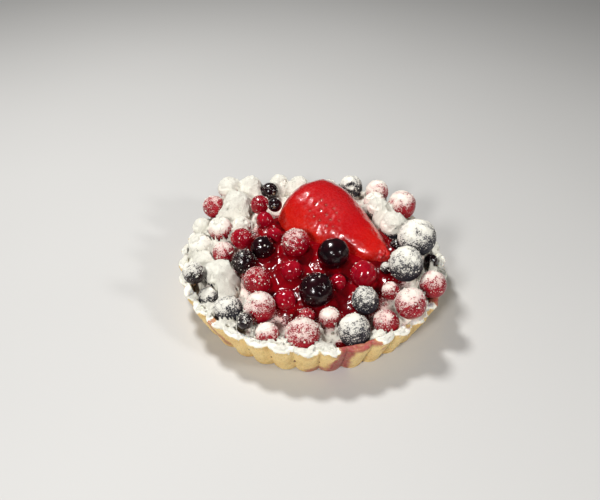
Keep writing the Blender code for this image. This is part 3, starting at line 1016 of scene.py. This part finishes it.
def make_strawberry(scene):
    settings = scene.tart_fruit
    rows, sides = 170, 168
    turns = np.arange(sides) * math.tau / sides
    ends = 1.0 - 1e-3
    steps = np.sin(np.linspace(-math.pi / 2, math.pi / 2, rows + 2)[1:-1]) * ends
    points = np.concatenate([strawberry_surface(np.full(sides, s), turns) for s in steps])
    tips = strawberry_surface(np.array([-1.0, 1.0]), np.array([0.0, 0.0]))
    points = np.concatenate([points, tips])
    faces = grid_faces(rows, sides)
    last = (rows - 1) * sides
    for index in range(sides):
        after = (index + 1) % sides
        faces.append((after, index, rows * sides))
        faces.append((rows * sides + 1, last + index, last + after))
    mesh = build_mesh("strawberry", points, faces)
    directions = normals(mesh)
    seeds = seed_places(settings)
    nearest = np.full(len(points), 1.0)
    for seed in seeds:
        nearest = np.minimum(nearest, np.linalg.norm(points - seed, axis=1))
    along, across, up = strawberry_frame(points)
    share, side = along / (STRAWBERRY_LENGTH / 2), across / (STRAWBERRY_WIDTH / 2)
    rise = up / STRAWBERRY_HEIGHT
    skin = smoothstep(0.02, 0.1, rise)
    pit_radius = 0.95 * MM
    pit = np.exp(-((nearest / pit_radius) ** 2) * 1.6)
    collar = np.exp(-(((nearest - pit_radius) / (0.35 * MM)) ** 2))
    shown = seeds_shown(share, side)
    relief = (-pit + 0.2 * collar) * settings.pit_depth * shown
    relief += cloudy(points, 6.0 * MM, 51) * 0.5 * MM
    relief += cloudy(points, 1.7 * MM, 55) * 0.12 * MM
    torn = smoothstep(0.82, 0.98, share)
    relief += torn * cloudy(points, 1.6 * MM, 57) * 0.9 * MM
    points += directions * (relief * skin)[:, None]
    move_points(mesh, points)
    # the pit attribute is a mask of painted shade in the seed dimples
    set_values(mesh, "pit", pit * skin * shown)
    belly = np.exp(-(((share + 0.1) / 0.42) ** 2) - ((side + 0.2) / 0.45) ** 2)
    set_values(mesh, "pale", np.clip(belly * 0.6 + torn * 0.6, 0, 1))
    set_values(mesh, "dark", smoothstep(0.35, 0.9, side) + smoothstep(-0.55, -0.95, share) * 0.6)
    # a band along the front edge holds painted glow of light through thin flesh; towards the tip
    # the warmer colour is the skin's own
    front = smoothstep(-0.45, -0.85, side) * 0.8 + smoothstep(0.35, 0.75, share) * 0.5
    set_values(mesh, "tip_warmth_and_edge_glow", np.clip(front * (0.7 + 0.5 * cloudy(points, 4 * MM, 59)), 0, 1))
    remember(mesh, np.zeros(len(points)), 0.0)
    add_piece("strawberry_half", mesh, strawberry_material(settings),
              ("strawberry",))
    add_seeds(settings, seeds, points, faces)


# ---------------------------------------------------------------- the berries


def berry_form(kind, polar, turn):
    """The radius and the withered share of a unit berry, polar angle from its blossom."""
    if kind == "blueberry":
        star = 0.5 + 0.5 * np.cos(5.0 * turn)
        pit = np.exp(-((polar / 0.27) ** 4))
        crown = np.exp(-(((polar - 0.36 - 0.05 * star) / 0.085) ** 2))
        radius = 1.0 - 0.2 * pit + (0.045 + 0.07 * star) * crown
        radius *= 1.0 - 0.1 * np.cos(polar) ** 2
        return radius, np.clip(pit * 0.9 + crown * 0.25 * star, 0, 1)
    width = 0.14 if kind == "blackcurrant" else 0.1
    frill = 1.0 + 0.5 * np.cos(7.0 * turn)
    nub = np.exp(-((polar / width) ** 4))
    ring = np.exp(-(((polar - 1.5 * width) / (0.6 * width)) ** 2))
    stalk = np.exp(-(((math.pi - polar) / 0.16) ** 2))
    radius = 1.0 + (0.1 * frill) * nub - 0.035 * ring - 0.06 * stalk
    return radius, np.clip(nub * 1.2, 0, 1)


def berry_mesh(name, kind, middle, radius, blossom, settings, seed):
    """One berry around its node's middle, its blossom end turned to face a way."""
    rings, sides = 42, 64
    polars = math.pi * (np.arange(1, rings) / rings)
    polar, turn = np.meshgrid(polars, np.arange(sides) * math.tau / sides, indexing="ij")
    polar = np.concatenate([polar.ravel(), [0.0, math.pi]])
    turn = np.concatenate([turn.ravel(), [0.0, 0.0]])
    form, withered = berry_form(kind, polar, turn)
    unit = np.stack([np.sin(polar) * np.cos(turn), np.sin(polar) * np.sin(turn),
                     np.cos(polar)], -1)
    away = np.repeat([[0.37 * seed, 0.91, 1.7 * seed]], len(unit), axis=0)
    lumps = cloudy(unit + away, 0.9, seed) * settings.lumps
    creases = np.abs(noise(unit * (1.0, 1.0, 0.6) + away, 0.28, seed + 3))
    wrinkled = smoothstep(-0.2, 0.5, noise(away[:1], 0.5, seed))[0]
    unit *= 1.0 + 0.055 * noise(away[:1] * (1.0, 2.0, 3.0) + np.eye(3) * 5.1, 1.3, seed)
    form = form + lumps - (1.0 - creases) ** 6 * settings.wrinkles * (0.4 + wrinkled)
    turn_to = Vector((0, 0, 1)).rotation_difference(blossom).to_matrix()
    points = (unit * form[:, None] * radius) @ np.array(turn_to).T + np.array(middle)
    faces = grid_faces(rings - 1, sides)
    faces += pole_faces(rings - 1, sides, len(points) - 2, len(points) - 1)
    mesh = build_mesh(name, points, [face[::-1] for face in faces])
    set_values(mesh, "withered", withered)
    uv = mesh.uv_layers.new(name="round")
    corner = np.empty(len(mesh.loops), np.int32)
    mesh.loops.foreach_get("vertex_index", corner)
    across, down = turn[corner] / math.tau, 1.0 - polar[corner] / math.pi
    owner = np.repeat(np.arange(len(mesh.polygons)),
                      [len(face.vertices) for face in mesh.polygons])
    highest = np.zeros(len(mesh.polygons))
    np.maximum.at(highest, owner, across)
    across = np.where((highest[owner] > 0.9) & (across < 0.1), across + 1.0, across)
    uv.data.foreach_set("uv", np.stack([across, down], -1).astype(np.float32).ravel())
    return mesh


def berry_material(kind, scene, wet):
    """A berry's skin under its share of sugar; a wet one is glazed with jelly."""
    settings = scene.tart_fruit
    material, tree, shader = new_material(kind + ("_glazed" if wet else "_dusted"))
    place = object_place(tree)
    skin = opaque(getattr(settings, kind))
    cloud = remap(tree, grain(tree, place, 3.0 * MM, 2.0), 0.35, 0.65)
    if kind == "blueberry":
        colour = blend_colours(tree, compute(tree, "MULTIPLY", cloud, 0.1 if wet else 0.6),
                               skin, opaque(settings.bloom))
        gloss, coat, under, depth = (0.28 if wet else 0.5), (0.8 if wet else 0.15), 0.0, 1.0
    elif kind == "blackcurrant":
        colour = blend_colours(tree, compute(tree, "MULTIPLY", cloud, 0.35), skin,
                               opaque(settings.blackcurrant_lit))
        gloss, coat, under, depth = 0.2, (1.0 if wet else 0.5), 0.0, 1.0
    else:
        around = node(tree, "ShaderNodeSeparateXYZ", {
            0: node(tree, "ShaderNodeUVMap", uv_map="round")})
        wave = compute(tree, "SINE", compute(tree, "MULTIPLY", around, 11.0 * math.tau))
        vein = remap(tree, wave, 0.82, 1.0, 0.0, 0.28)
        share = compute(tree, "ADD", compute(tree, "MULTIPLY", cloud, 0.45), vein)
        colour = blend_colours(tree, share, skin, opaque(settings.redcurrant_lit))
        gloss, coat, under, depth = (0.14 if wet else 0.3), (1.0 if wet else 0.45), 0.4, 2.5
    damp = DAMP_ON_RED if kind == "redcurrant" else DAMP_ON_DARK
    dead = DEAD_CROWN if kind == "blueberry" else settings.withered
    colour = blend_colours(tree, attribute(tree, "withered"), colour, opaque(dead))
    bare = {"Base Color": colour, "Roughness": gloss, "Coat Weight": coat,
            "Subsurface Weight": under}
    mixed = sugared(tree, place, attribute(tree, "sugar"),
                    opaque(scene.tart_sugar.colour), damp, bare)
    glaze = node(tree, "ShaderNodeBump", {
        "Strength": 0.55 if wet else 0.25, "Distance": 0.4 * MM,
        "Height": grain(tree, place, 1.3 * MM, 2.0)})
    plug(tree, shader, mixed)
    plug(tree, shader, {
        "Coat Normal": glaze,
        "Coat Roughness": 0.05,
        "Coat IOR": 1.3,
        "Specular IOR Level": 0.25,
        "Subsurface Radius": (1.0, 0.12, 0.12),
        "Subsurface Scale": depth * MM,
    })
    return material


def blossom_direction(name, index):
    """Which way a berry's blossom end looks: mostly outwards and down."""
    bearing, lift = BLOSSOM_ENDS.get(name, (GOLDEN_ANGLE * index, -75 + (37 * index) % 60))
    bearing, lift = math.radians(bearing), math.radians(lift)
    flat = math.cos(lift)
    return Vector((flat * math.cos(bearing), flat * math.sin(bearing), math.sin(lift)))


def make_berries(scene, kind):
    settings = scene.tart_fruit
    overhead = Overhead()
    materials = {wet: berry_material(kind, scene, wet) for wet in (False, True)}
    places = berry_places()
    for index, amount in enumerate(SUGAR_ON[kind]):
        name = f"{kind}_{index + 1:02d}"
        if name not in places:
            raise RuntimeError(f"the packed model has no node {name}")
        middle, radius = places[name]
        blossom = blossom_direction(name, index)
        mesh = berry_mesh(name, kind, middle, radius, blossom, settings, index + 1)
        points, directions = coordinates(mesh), normals(mesh)
        sugar = dusting(points, directions, amount)
        away = points - np.array(middle)
        away *= (1.04 * radius + 0.3 * MM) / np.linalg.norm(away, axis=1)[:, None]
        sugar *= 0.15 + 0.85 * overhead.openness(away + np.array(middle))
        clots = smoothstep(0.25, 0.8, noise(points, 1.0 * MM, 63)) * 0.3
        layer = smoothstep(0.25, 0.9, sugar) * (0.18 + 0.2 * cloudy(points, 0.8 * MM, 61) + clots)
        points += directions * (layer * MM)[:, None]
        move_points(mesh, points)
        set_values(mesh, "sugar", sugar)
        remember(mesh, sugar, amount)
        add_piece(f"{name}_fruit", mesh, materials[amount < 0.3], (name,))


# ------------------------------------------------------------- drifts, grains


def spread_value(field, radius, way):
    """The highest (np.maximum) or lowest (np.minimum) value within a radius in cells."""
    result = field.copy()
    for dy in range(-radius, radius + 1):
        for dx in range(-radius, radius + 1):
            if dx * dx + dy * dy <= radius * radius:
                result = way(result, np.roll(field, (dy, dx), (0, 1)))
    return result


def heap_up(field, fall, rounds):
    """Let sugar slide from every cell, lower by the fall for each cell away."""
    for _ in range(rounds):
        for dy, dx in np.ndindex(3, 3):
            down = fall * math.hypot(dy - 1, dx - 1)
            field = np.maximum(field, np.roll(field, (dy - 1, dx - 1), (0, 1)) - down)
    return field


def soften(field, rounds):
    for _ in range(rounds):
        for axis in (0, 1):
            field = 0.5 * field + 0.25 * (np.roll(field, 1, axis) + np.roll(field, -1, axis))
    return field


def all_surfaces():
    """Every surface kept so far as one: points, faces and the values on the points."""
    faces, start = [], 0
    for surface in SURFACES:
        faces += [tuple(start + index for index in face) for face in surface["faces"]]
        start += len(surface["points"])
    keys = ("points", "sugar", "amount", "takes")
    points, *values = (np.concatenate([kept[key] for kept in SURFACES]) for key in keys)
    return points, faces, values


def sugar_material(colour):
    """Packed icing sugar: warm white, matt and grainy."""
    material, tree, shader = new_material("icing_sugar")
    place = object_place(tree)
    fine = remap(tree, grain(tree, place, 0.4 * MM, 3.0, 0.7), 0.32, 0.68)
    broad = remap(tree, grain(tree, place, 2.6 * MM, 2.0), 0.35, 0.65)
    specks = remap(tree, grain(tree, place, 0.55 * MM, 2.0, 0.7), 0.36, 0.44)
    shade = compute(tree, "ADD", compute(tree, "MULTIPLY", fine, 0.5),
                    compute(tree, "MULTIPLY", broad, 0.5))
    low = tuple(0.88 * value for value in colour)
    tone = blend_colours(tree, shade, opaque(low), opaque(colour))
    soaked = compute(tree, "MULTIPLY", compute(tree, "SUBTRACT", 1.0, specks),
                     remap(tree, broad, 0.0, 1.0, 0.4, 0.0))
    tone = blend_colours(tree, soaked, tone, SOAKED_SUGAR)
    bump = node(tree, "ShaderNodeBump", {
        "Strength": 0.9, "Distance": 0.25 * MM, "Height": fine})
    plug(tree, shader, {
        "Base Color": tone,
        "Roughness": 0.95,
        "Normal": bump,
        "Specular IOR Level": 0.25,
    })
    return material


def on_grid(pattern, cells, *values):
    """The value of a pattern in each cell of a grid, from the places of the cells."""
    places = np.stack([axis.ravel() for axis in cells], -1)
    return pattern(places, *values).reshape(cells[0].shape)


def sift_down(x, y, half):
    """What falling sugar meets in each cell: the height, the sugar on that surface, the
    amount that has fallen there and how far it takes a heap."""
    points, faces, (sugar, amount, takes) = all_surfaces()
    tree = BVHTree.FromPolygons(points.tolist(), faces)
    firsts = np.array([face[0] for face in faces])
    thirds = np.array([face[2] for face in faces])
    face_sugar = (sugar[firsts] + sugar[thirds]) / 2.0
    face_amount, face_takes = amount[firsts], takes[firsts]
    height = np.full(x.shape, np.nan)
    cover, fallen, taking = (np.zeros(x.shape) for _ in range(3))
    down, above = Vector((0, 0, -1)), CAD_BOX[1][2] + 20 * MM
    for index in np.ndindex(x.shape):
        if x[index] ** 2 + y[index] ** 2 > half**2:
            continue
        place, _, face, _ = tree.ray_cast(Vector((x[index], y[index], above)), down)
        if place is not None:
            height[index] = place.z
            cover[index] = face_sugar[face]
            fallen[index] = face_amount[face]
            taking[index] = face_takes[face]
    return height, cover, fallen, taking


def hang_over_edges(height, cover, fallen):
    """Carry the sugar a little way out over the edges of what it lies on."""
    for drop in HANG_DROPS:
        known = np.where(np.isnan(height), -1.0, height)
        beside = spread_value(known, 1, np.maximum)
        beside_cover = spread_value(cover, 1, np.maximum)
        beside_fallen = spread_value(fallen, 1, np.maximum)
        edge = np.isnan(height) & (beside > HANG_FROM) & (beside_cover > LYING)
        height[edge] = beside[edge] - drop
        cover[edge] = beside_cover[edge] * 0.96
        fallen[edge] = beside_fallen[edge]


def heaps_and_bank(x, y, floor, cover, taking, settings):
    """The depth of the heaps beside buried berries and of the bank inside the rim."""
    on_buried = (cover > LYING) & (taking > 0.8) & (taking < 1.0)
    on_high_jelly = (taking == 1.0) & (floor > HEAPS_ON_JELLY_ABOVE)
    buried = np.where(on_buried | on_high_jelly, floor, -1.0)
    heap = heap_up(buried, settings.heap_fall * settings.step, round(HEAP_REACH / settings.step))
    heap = soften(np.maximum(heap, floor), 4)
    heap = np.clip(heap - floor, 0.0, settings.heap) * smoothstep(0.6, 0.8, soften(taking, 4))
    heap *= bare_share(x.ravel(), y.ravel()).reshape(x.shape)
    away = np.hypot(x, y)
    level = CRUST_HEIGHT + 0.8 * MM * on_grid(noise, (x, y, 0.0 * x), 3.0 * MM, 87)
    dry = 1.0 - on_grid(juice_share, (x, y, 0.0 * x + CRUST_HEIGHT))
    on_berry = (taking < 1.0) & (floor > CRUST_HEIGHT + 0.5 * MM)
    bank = np.clip(level - floor, 0.0, BANK_DEEPEST) * smoothstep(BANK_FROM, BANK_FULL, away)
    bank *= dry * (away < RIM_INNER_RADIUS + 1.0 * MM) * ~on_berry
    return np.maximum(heap, soften(bank, 3))


def drift_surface(x, y, met, settings):
    """The top of the drifts, the cells that hold any, and how far each cell is heaped."""
    height, cover, fallen, taking = met
    missing = np.isnan(height)
    floor = np.where(missing, 0.0, height)
    reach = max(1, round(settings.gap / 2.0 / settings.step))
    filled = spread_value(spread_value(floor, reach, np.maximum), reach, np.minimum)
    filled = np.maximum(soften(filled, 3), floor)
    deep = filled - floor
    around = soften(fallen, 40)
    heap = heaps_and_bank(x, y, floor, cover, taking, settings)
    heaped = smoothstep(0.2 * MM, 0.8 * MM, soften(heap, 2))
    crevice = smoothstep(0.3 * MM, 1.3 * MM, deep)
    spots = (x, y, floor)
    patchy = on_grid(cloudy, spots, 1.3 * MM, 71)
    speckle = on_grid(noise, spots, 0.7 * MM, 77)
    wide_cover = np.maximum(soften(cover, 3), crevice * np.minimum(1.0, around * 1.5))
    wide_cover = np.maximum(wide_cover, smoothstep(0.3 * MM, 1.2 * MM, heap))
    wide_cover = soften(wide_cover, 3)
    thick = smoothstep(0.62, 0.95, wide_cover + 0.12 * patchy)
    fill = np.clip(deep, 0.0, settings.deepest) * settings.fill * smoothstep(0.4, 0.75, around)
    lift = thick * settings.depth * (1.0 + 0.5 * patchy) + np.maximum(fill * thick, heap)
    top = floor + lift
    top = np.where(missing, floor, top + (soften(top, 2) - top) * thick)
    top = np.where(missing, floor, top + (soften(top, 5) - top) * heaped)
    grainy = on_grid(cloudy, spots, 0.9 * MM, 81, 2)
    grainy += 1.2 * smoothstep(0.35, 0.9, on_grid(noise, spots, 1.1 * MM, 83))
    grainy += 1.6 * on_grid(cloudy, spots, 2.4 * MM, 85, 2) * smoothstep(0, 1 * MM, heap)
    top += (grainy * 0.36 + speckle * 0.14) * settings.roughness * thick
    present = (wide_cover + 0.16 * patchy + 0.16 * speckle > 0.8) & ~missing
    present &= soften(present.astype(float), 1) > 0.3
    inner = spread_value((~present).astype(float), 1, np.maximum) < 0.5
    return np.where(inner, top, floor - 0.25 * MM), present, heaped


def drift_mesh(x, y, top, present, heaped, settings):
    """A sheet over the cells that hold sugar, torn where it is steep, its edges turned down."""
    corners = [top[:-1, :-1], top[:-1, 1:], top[1:, :-1], top[1:, 1:]]
    steep = np.max(corners, 0) - np.min(corners, 0) > settings.steepest * settings.step
    steep &= heaped[:-1, :-1] < 0.5
    rows, columns = np.nonzero(present[:-1, :-1] & present[1:, :-1] & present[:-1, 1:]
                               & present[1:, 1:] & ~steep)
    width = x.shape[1]
    corner = rows * width + columns
    quads = np.stack([corner, corner + 1, corner + width + 1, corner + width], -1)
    used, quads = np.unique(quads, return_inverse=True)
    quads = quads.reshape(-1, 4)
    cells = np.stack([x.ravel(), y.ravel(), top.ravel()], -1)[used]
    edges = {}
    for quad in quads.tolist():
        for first, second in zip(quad, quad[1:] + quad[:1]):
            edges[(first, second)] = None
    border = [edge for edge in edges if edge[::-1] not in edges]
    below = {}
    for edge in border:
        for index in edge:
            below.setdefault(index, len(cells) + len(below))
    under = cells[list(below)] - (0.0, 0.0, DRIFT_EDGE)
    walls = [(second, first, below[first], below[second]) for first, second in border]
    return build_mesh("drifts", np.concatenate([cells, under]), quads.tolist() + walls)


def make_drifts(scene):
    settings = scene.tart_sugar
    half = RIM_RADIUS + DRIFT_MARGIN
    line = np.arange(-half, half + settings.step, settings.step)
    x, y = np.meshgrid(line, line)
    met = sift_down(x, y, half)
    hang_over_edges(*met[:3])
    mesh = drift_mesh(x, y, *drift_surface(x, y, met, settings), settings)
    add_piece("sugar_drifts", mesh, sugar_material(settings.colour))


def scatter_tree():
    """Scatters grains over a surface by its dusting and turns them every way."""
    tree, start, end = new_tree("Sugar grains", [
        ("Density", "NodeSocketFloat"),
        ("Size", "NodeSocketFloat"),
        ("Seed", "NodeSocketInt"),
        ("Material", "NodeSocketMaterial"),
    ])
    dust = node(tree, "GeometryNodeInputNamedAttribute", {"Name": "dusting"},
                data_type="FLOAT")
    density = compute(tree, "MULTIPLY", dust, start.outputs["Density"])
    spread = node(tree, "GeometryNodeDistributePointsOnFaces", {
        "Mesh": start.outputs["Geometry"], "Density": density,
        "Seed": start.outputs["Seed"]})
    ball = node(tree, "GeometryNodeMeshIcoSphere", {"Radius": 0.5, "Subdivisions": 1})
    turn = node(tree, "FunctionNodeRandomValue", {
        0: (0.0, 0.0, 0.0), 1: (math.tau, math.tau, math.tau),
        "Seed": start.outputs["Seed"]}, data_type="FLOAT_VECTOR")
    low = compute(tree, "MULTIPLY", start.outputs["Size"], 0.6)
    high = compute(tree, "MULTIPLY", start.outputs["Size"], 1.5)
    size = node(tree, "FunctionNodeRandomValue", {
        2: low, 3: high, "Seed": start.outputs["Seed"]}, 1, data_type="FLOAT")
    placed = node(tree, "GeometryNodeInstanceOnPoints", {
        "Points": spread, "Instance": ball, "Rotation": turn, "Scale": size})
    real = node(tree, "GeometryNodeRealizeInstances", {"Geometry": placed})
    done = node(tree, "GeometryNodeSetMaterial", {
        "Geometry": real, "Material": start.outputs["Material"]})
    tree.links.new(done, end.inputs["Geometry"])
    return tree


def make_grains(scene):
    settings = scene.tart_sugar
    points, faces, (sugar, _, _) = all_surfaces()
    base = build_mesh("dusted", points, faces)
    dust = np.clip(sugar * 2.0, 0, 1) * (1.0 - 0.75 * smoothstep(0.7, 1.0, sugar))
    dust = np.where(points[:, 2] > 12.0 * MM, dust, dust * 0.4)
    set_values(base, "dusting", dust)
    area = np.zeros(len(base.polygons))
    base.polygons.foreach_get("area", area)
    weight = sum(a * dust[list(face)].mean() for a, face in zip(area, faces))
    tree = scatter_tree()
    material = sugar_material(settings.colour)
    for name, count, size, seed in (
        ("sugar_grains", settings.grains, settings.grain_size, 5),
        ("sugar_clumps", settings.clumps, settings.clump_size, 6),
    ):
        mesh = grow(base, tree, {
            "Density": count / weight, "Size": size, "Seed": seed, "Material": material})
        add_piece(name, mesh, None)


# ------------------------------------------------------------------ the stage


def add_lamp(name, power, size, place, aim=(0.0, 0.0, 0.015)):
    lamp = bpy.data.lights.new(name, "AREA")
    lamp.energy = power
    lamp.shape = "DISK"
    lamp.size = size
    item = bpy.data.objects.new(name, lamp)
    item.location = place
    item.rotation_euler = (Vector(aim) - Vector(place)).to_track_quat("-Z", "Y").to_euler()
    bpy.context.scene.collection.objects.link(item)


def make_stage(scene):
    settings = scene.tart_stage
    half = 2.0
    corners = [(-half, -half, 0), (half, -half, 0), (half, half, 0), (-half, half, 0)]
    mesh = build_mesh("floor", corners, [(0, 1, 2, 3)])
    material, tree, shader = new_material("floor")
    tint = remap(tree, grain(tree, object_place(tree), 0.2, 2.0), 0.3, 0.7, 0.96, 1.0)
    shade = node(tree, "ShaderNodeVectorMath", {0: settings.floor, "Scale": tint},
                 operation="SCALE")
    plug(tree, shader, {"Base Color": shade, "Roughness": 0.7})
    mesh.materials.append(material)
    floor = bpy.data.objects.new("floor", mesh)
    scene.collection.objects.link(floor)

    add_lamp("key", settings.key, 0.09, (-0.16, 0.16, 0.46))
    add_lamp("fill", settings.fill, 0.1, (-0.18, -0.42, 0.34))
    add_lamp("side", settings.fill * 0.4, 0.08, (0.34, -0.22, 0.3))
    world = bpy.data.worlds.new("soft light")
    scene.world = world
    world.use_nodes = True
    sky = world.node_tree.nodes["Background"]
    sky.inputs["Color"].default_value = (0.95, 0.97, 1.0, 1.0)
    sky.inputs["Strength"].default_value = settings.sky
    scene.view_settings.view_transform = "Standard"

    forward = Vector((0, math.cos(settings.pitch), -math.sin(settings.pitch)))
    level = Vector((1, 0, 0))
    upright = level.cross(forward)
    cos, sin = math.cos(settings.roll), math.sin(settings.roll)
    right = level * cos + upright * sin
    up = upright * cos - level * sin
    lens = bpy.data.cameras.new("camera")
    lens.sensor_width = 36.0
    lens.lens = settings.lens
    lens.clip_start = 0.001
    camera = bpy.data.objects.new("camera", lens)
    turn = Matrix((right, up, -forward)).transposed().to_4x4()
    turn.translation = Vector(settings.eye)
    camera.matrix_world = turn
    scene.collection.objects.link(camera)
    scene.camera = camera


# ------------------------------------------------------------------ operators


class TART_OT_shell(bpy.types.Operator):
    """Bake the fluted shortcrust shell"""
    bl_idname = "tart.shell"
    bl_label = "Fluted Shell"

    def execute(self, context):
        make_shell(context.scene)
        return {"FINISHED"}


class TART_OT_jelly(bpy.types.Operator):
    """Pour the red jelly that holds the fruit"""
    bl_idname = "tart.jelly"
    bl_label = "Red Jelly"

    def execute(self, context):
        make_jelly(context.scene)
        return {"FINISHED"}


class TART_OT_strawberry(bpy.types.Operator):
    """Lay the strawberry half with its seeds"""
    bl_idname = "tart.strawberry"
    bl_label = "Strawberry Half"

    def execute(self, context):
        make_strawberry(context.scene)
        return {"FINISHED"}


class TART_OT_redcurrants(bpy.types.Operator):
    """Place the redcurrants"""
    bl_idname = "tart.redcurrants"
    bl_label = "Redcurrants"

    def execute(self, context):
        make_berries(context.scene, "redcurrant")
        return {"FINISHED"}


class TART_OT_blackcurrants(bpy.types.Operator):
    """Place the blackcurrants"""
    bl_idname = "tart.blackcurrants"
    bl_label = "Blackcurrants"

    def execute(self, context):
        make_berries(context.scene, "blackcurrant")
        return {"FINISHED"}


class TART_OT_blueberries(bpy.types.Operator):
    """Place the blueberries"""
    bl_idname = "tart.blueberries"
    bl_label = "Blueberries"

    def execute(self, context):
        make_berries(context.scene, "blueberry")
        return {"FINISHED"}


class TART_OT_drifts(bpy.types.Operator):
    """Sift the sugar that lies in drifts over the fruit and the rim"""
    bl_idname = "tart.drifts"
    bl_label = "Sugar Drifts"

    def execute(self, context):
        make_drifts(context.scene)
        return {"FINISHED"}


class TART_OT_grains(bpy.types.Operator):
    """Scatter loose grains and clumps of sugar"""
    bl_idname = "tart.grains"
    bl_label = "Sugar Grains"

    def execute(self, context):
        make_grains(context.scene)
        return {"FINISHED"}


class TART_OT_stage(bpy.types.Operator):
    """Set the floor, the lights and the camera"""
    bl_idname = "tart.stage"
    bl_label = "Stage"

    def execute(self, context):
        make_stage(context.scene)
        return {"FINISHED"}


SETTINGS = {
    "tart_shell": ShellSettings,
    "tart_jelly": JellySettings,
    "tart_fruit": FruitSettings,
    "tart_sugar": SugarSettings,
    "tart_stage": StageSettings,
}
OPERATORS = (
    TART_OT_stage,
    TART_OT_shell,
    TART_OT_jelly,
    TART_OT_strawberry,
    TART_OT_redcurrants,
    TART_OT_blackcurrants,
    TART_OT_blueberries,
    TART_OT_drifts,
    TART_OT_grains,
)


class TART_PT_panel(bpy.types.Panel):
    """Lists the tart's pieces and their settings"""
    bl_idname = "TART_PT_panel"
    bl_label = "Berry Tart"
    bl_space_type = "VIEW_3D"
    bl_region_type = "UI"
    bl_category = "Berry Tart"

    def draw(self, context):
        for operator in OPERATORS:
            self.layout.operator(operator.bl_idname)
        for key in SETTINGS:
            box = self.layout.box()
            settings = getattr(context.scene, key)
            for name in settings.__annotations__:
                box.prop(settings, name)


def register():
    for key, settings in SETTINGS.items():
        bpy.utils.register_class(settings)
        setattr(bpy.types.Scene, key, bpy.props.PointerProperty(type=settings))
    for item in (*OPERATORS, TART_PT_panel):
        bpy.utils.register_class(item)


def unregister():
    for item in reversed((*OPERATORS, TART_PT_panel)):
        bpy.utils.unregister_class(item)
    for key, settings in SETTINGS.items():
        delattr(bpy.types.Scene, key)
        bpy.utils.unregister_class(settings)


def main():
    register()
    bpy.ops.tart.stage()
    bpy.ops.tart.shell()
    bpy.ops.tart.jelly()
    bpy.ops.tart.strawberry()
    bpy.ops.tart.redcurrants()
    bpy.ops.tart.blackcurrants()
    bpy.ops.tart.blueberries()
    bpy.ops.tart.drifts()
    bpy.ops.tart.grains()


if __name__ == "__main__":
    main()
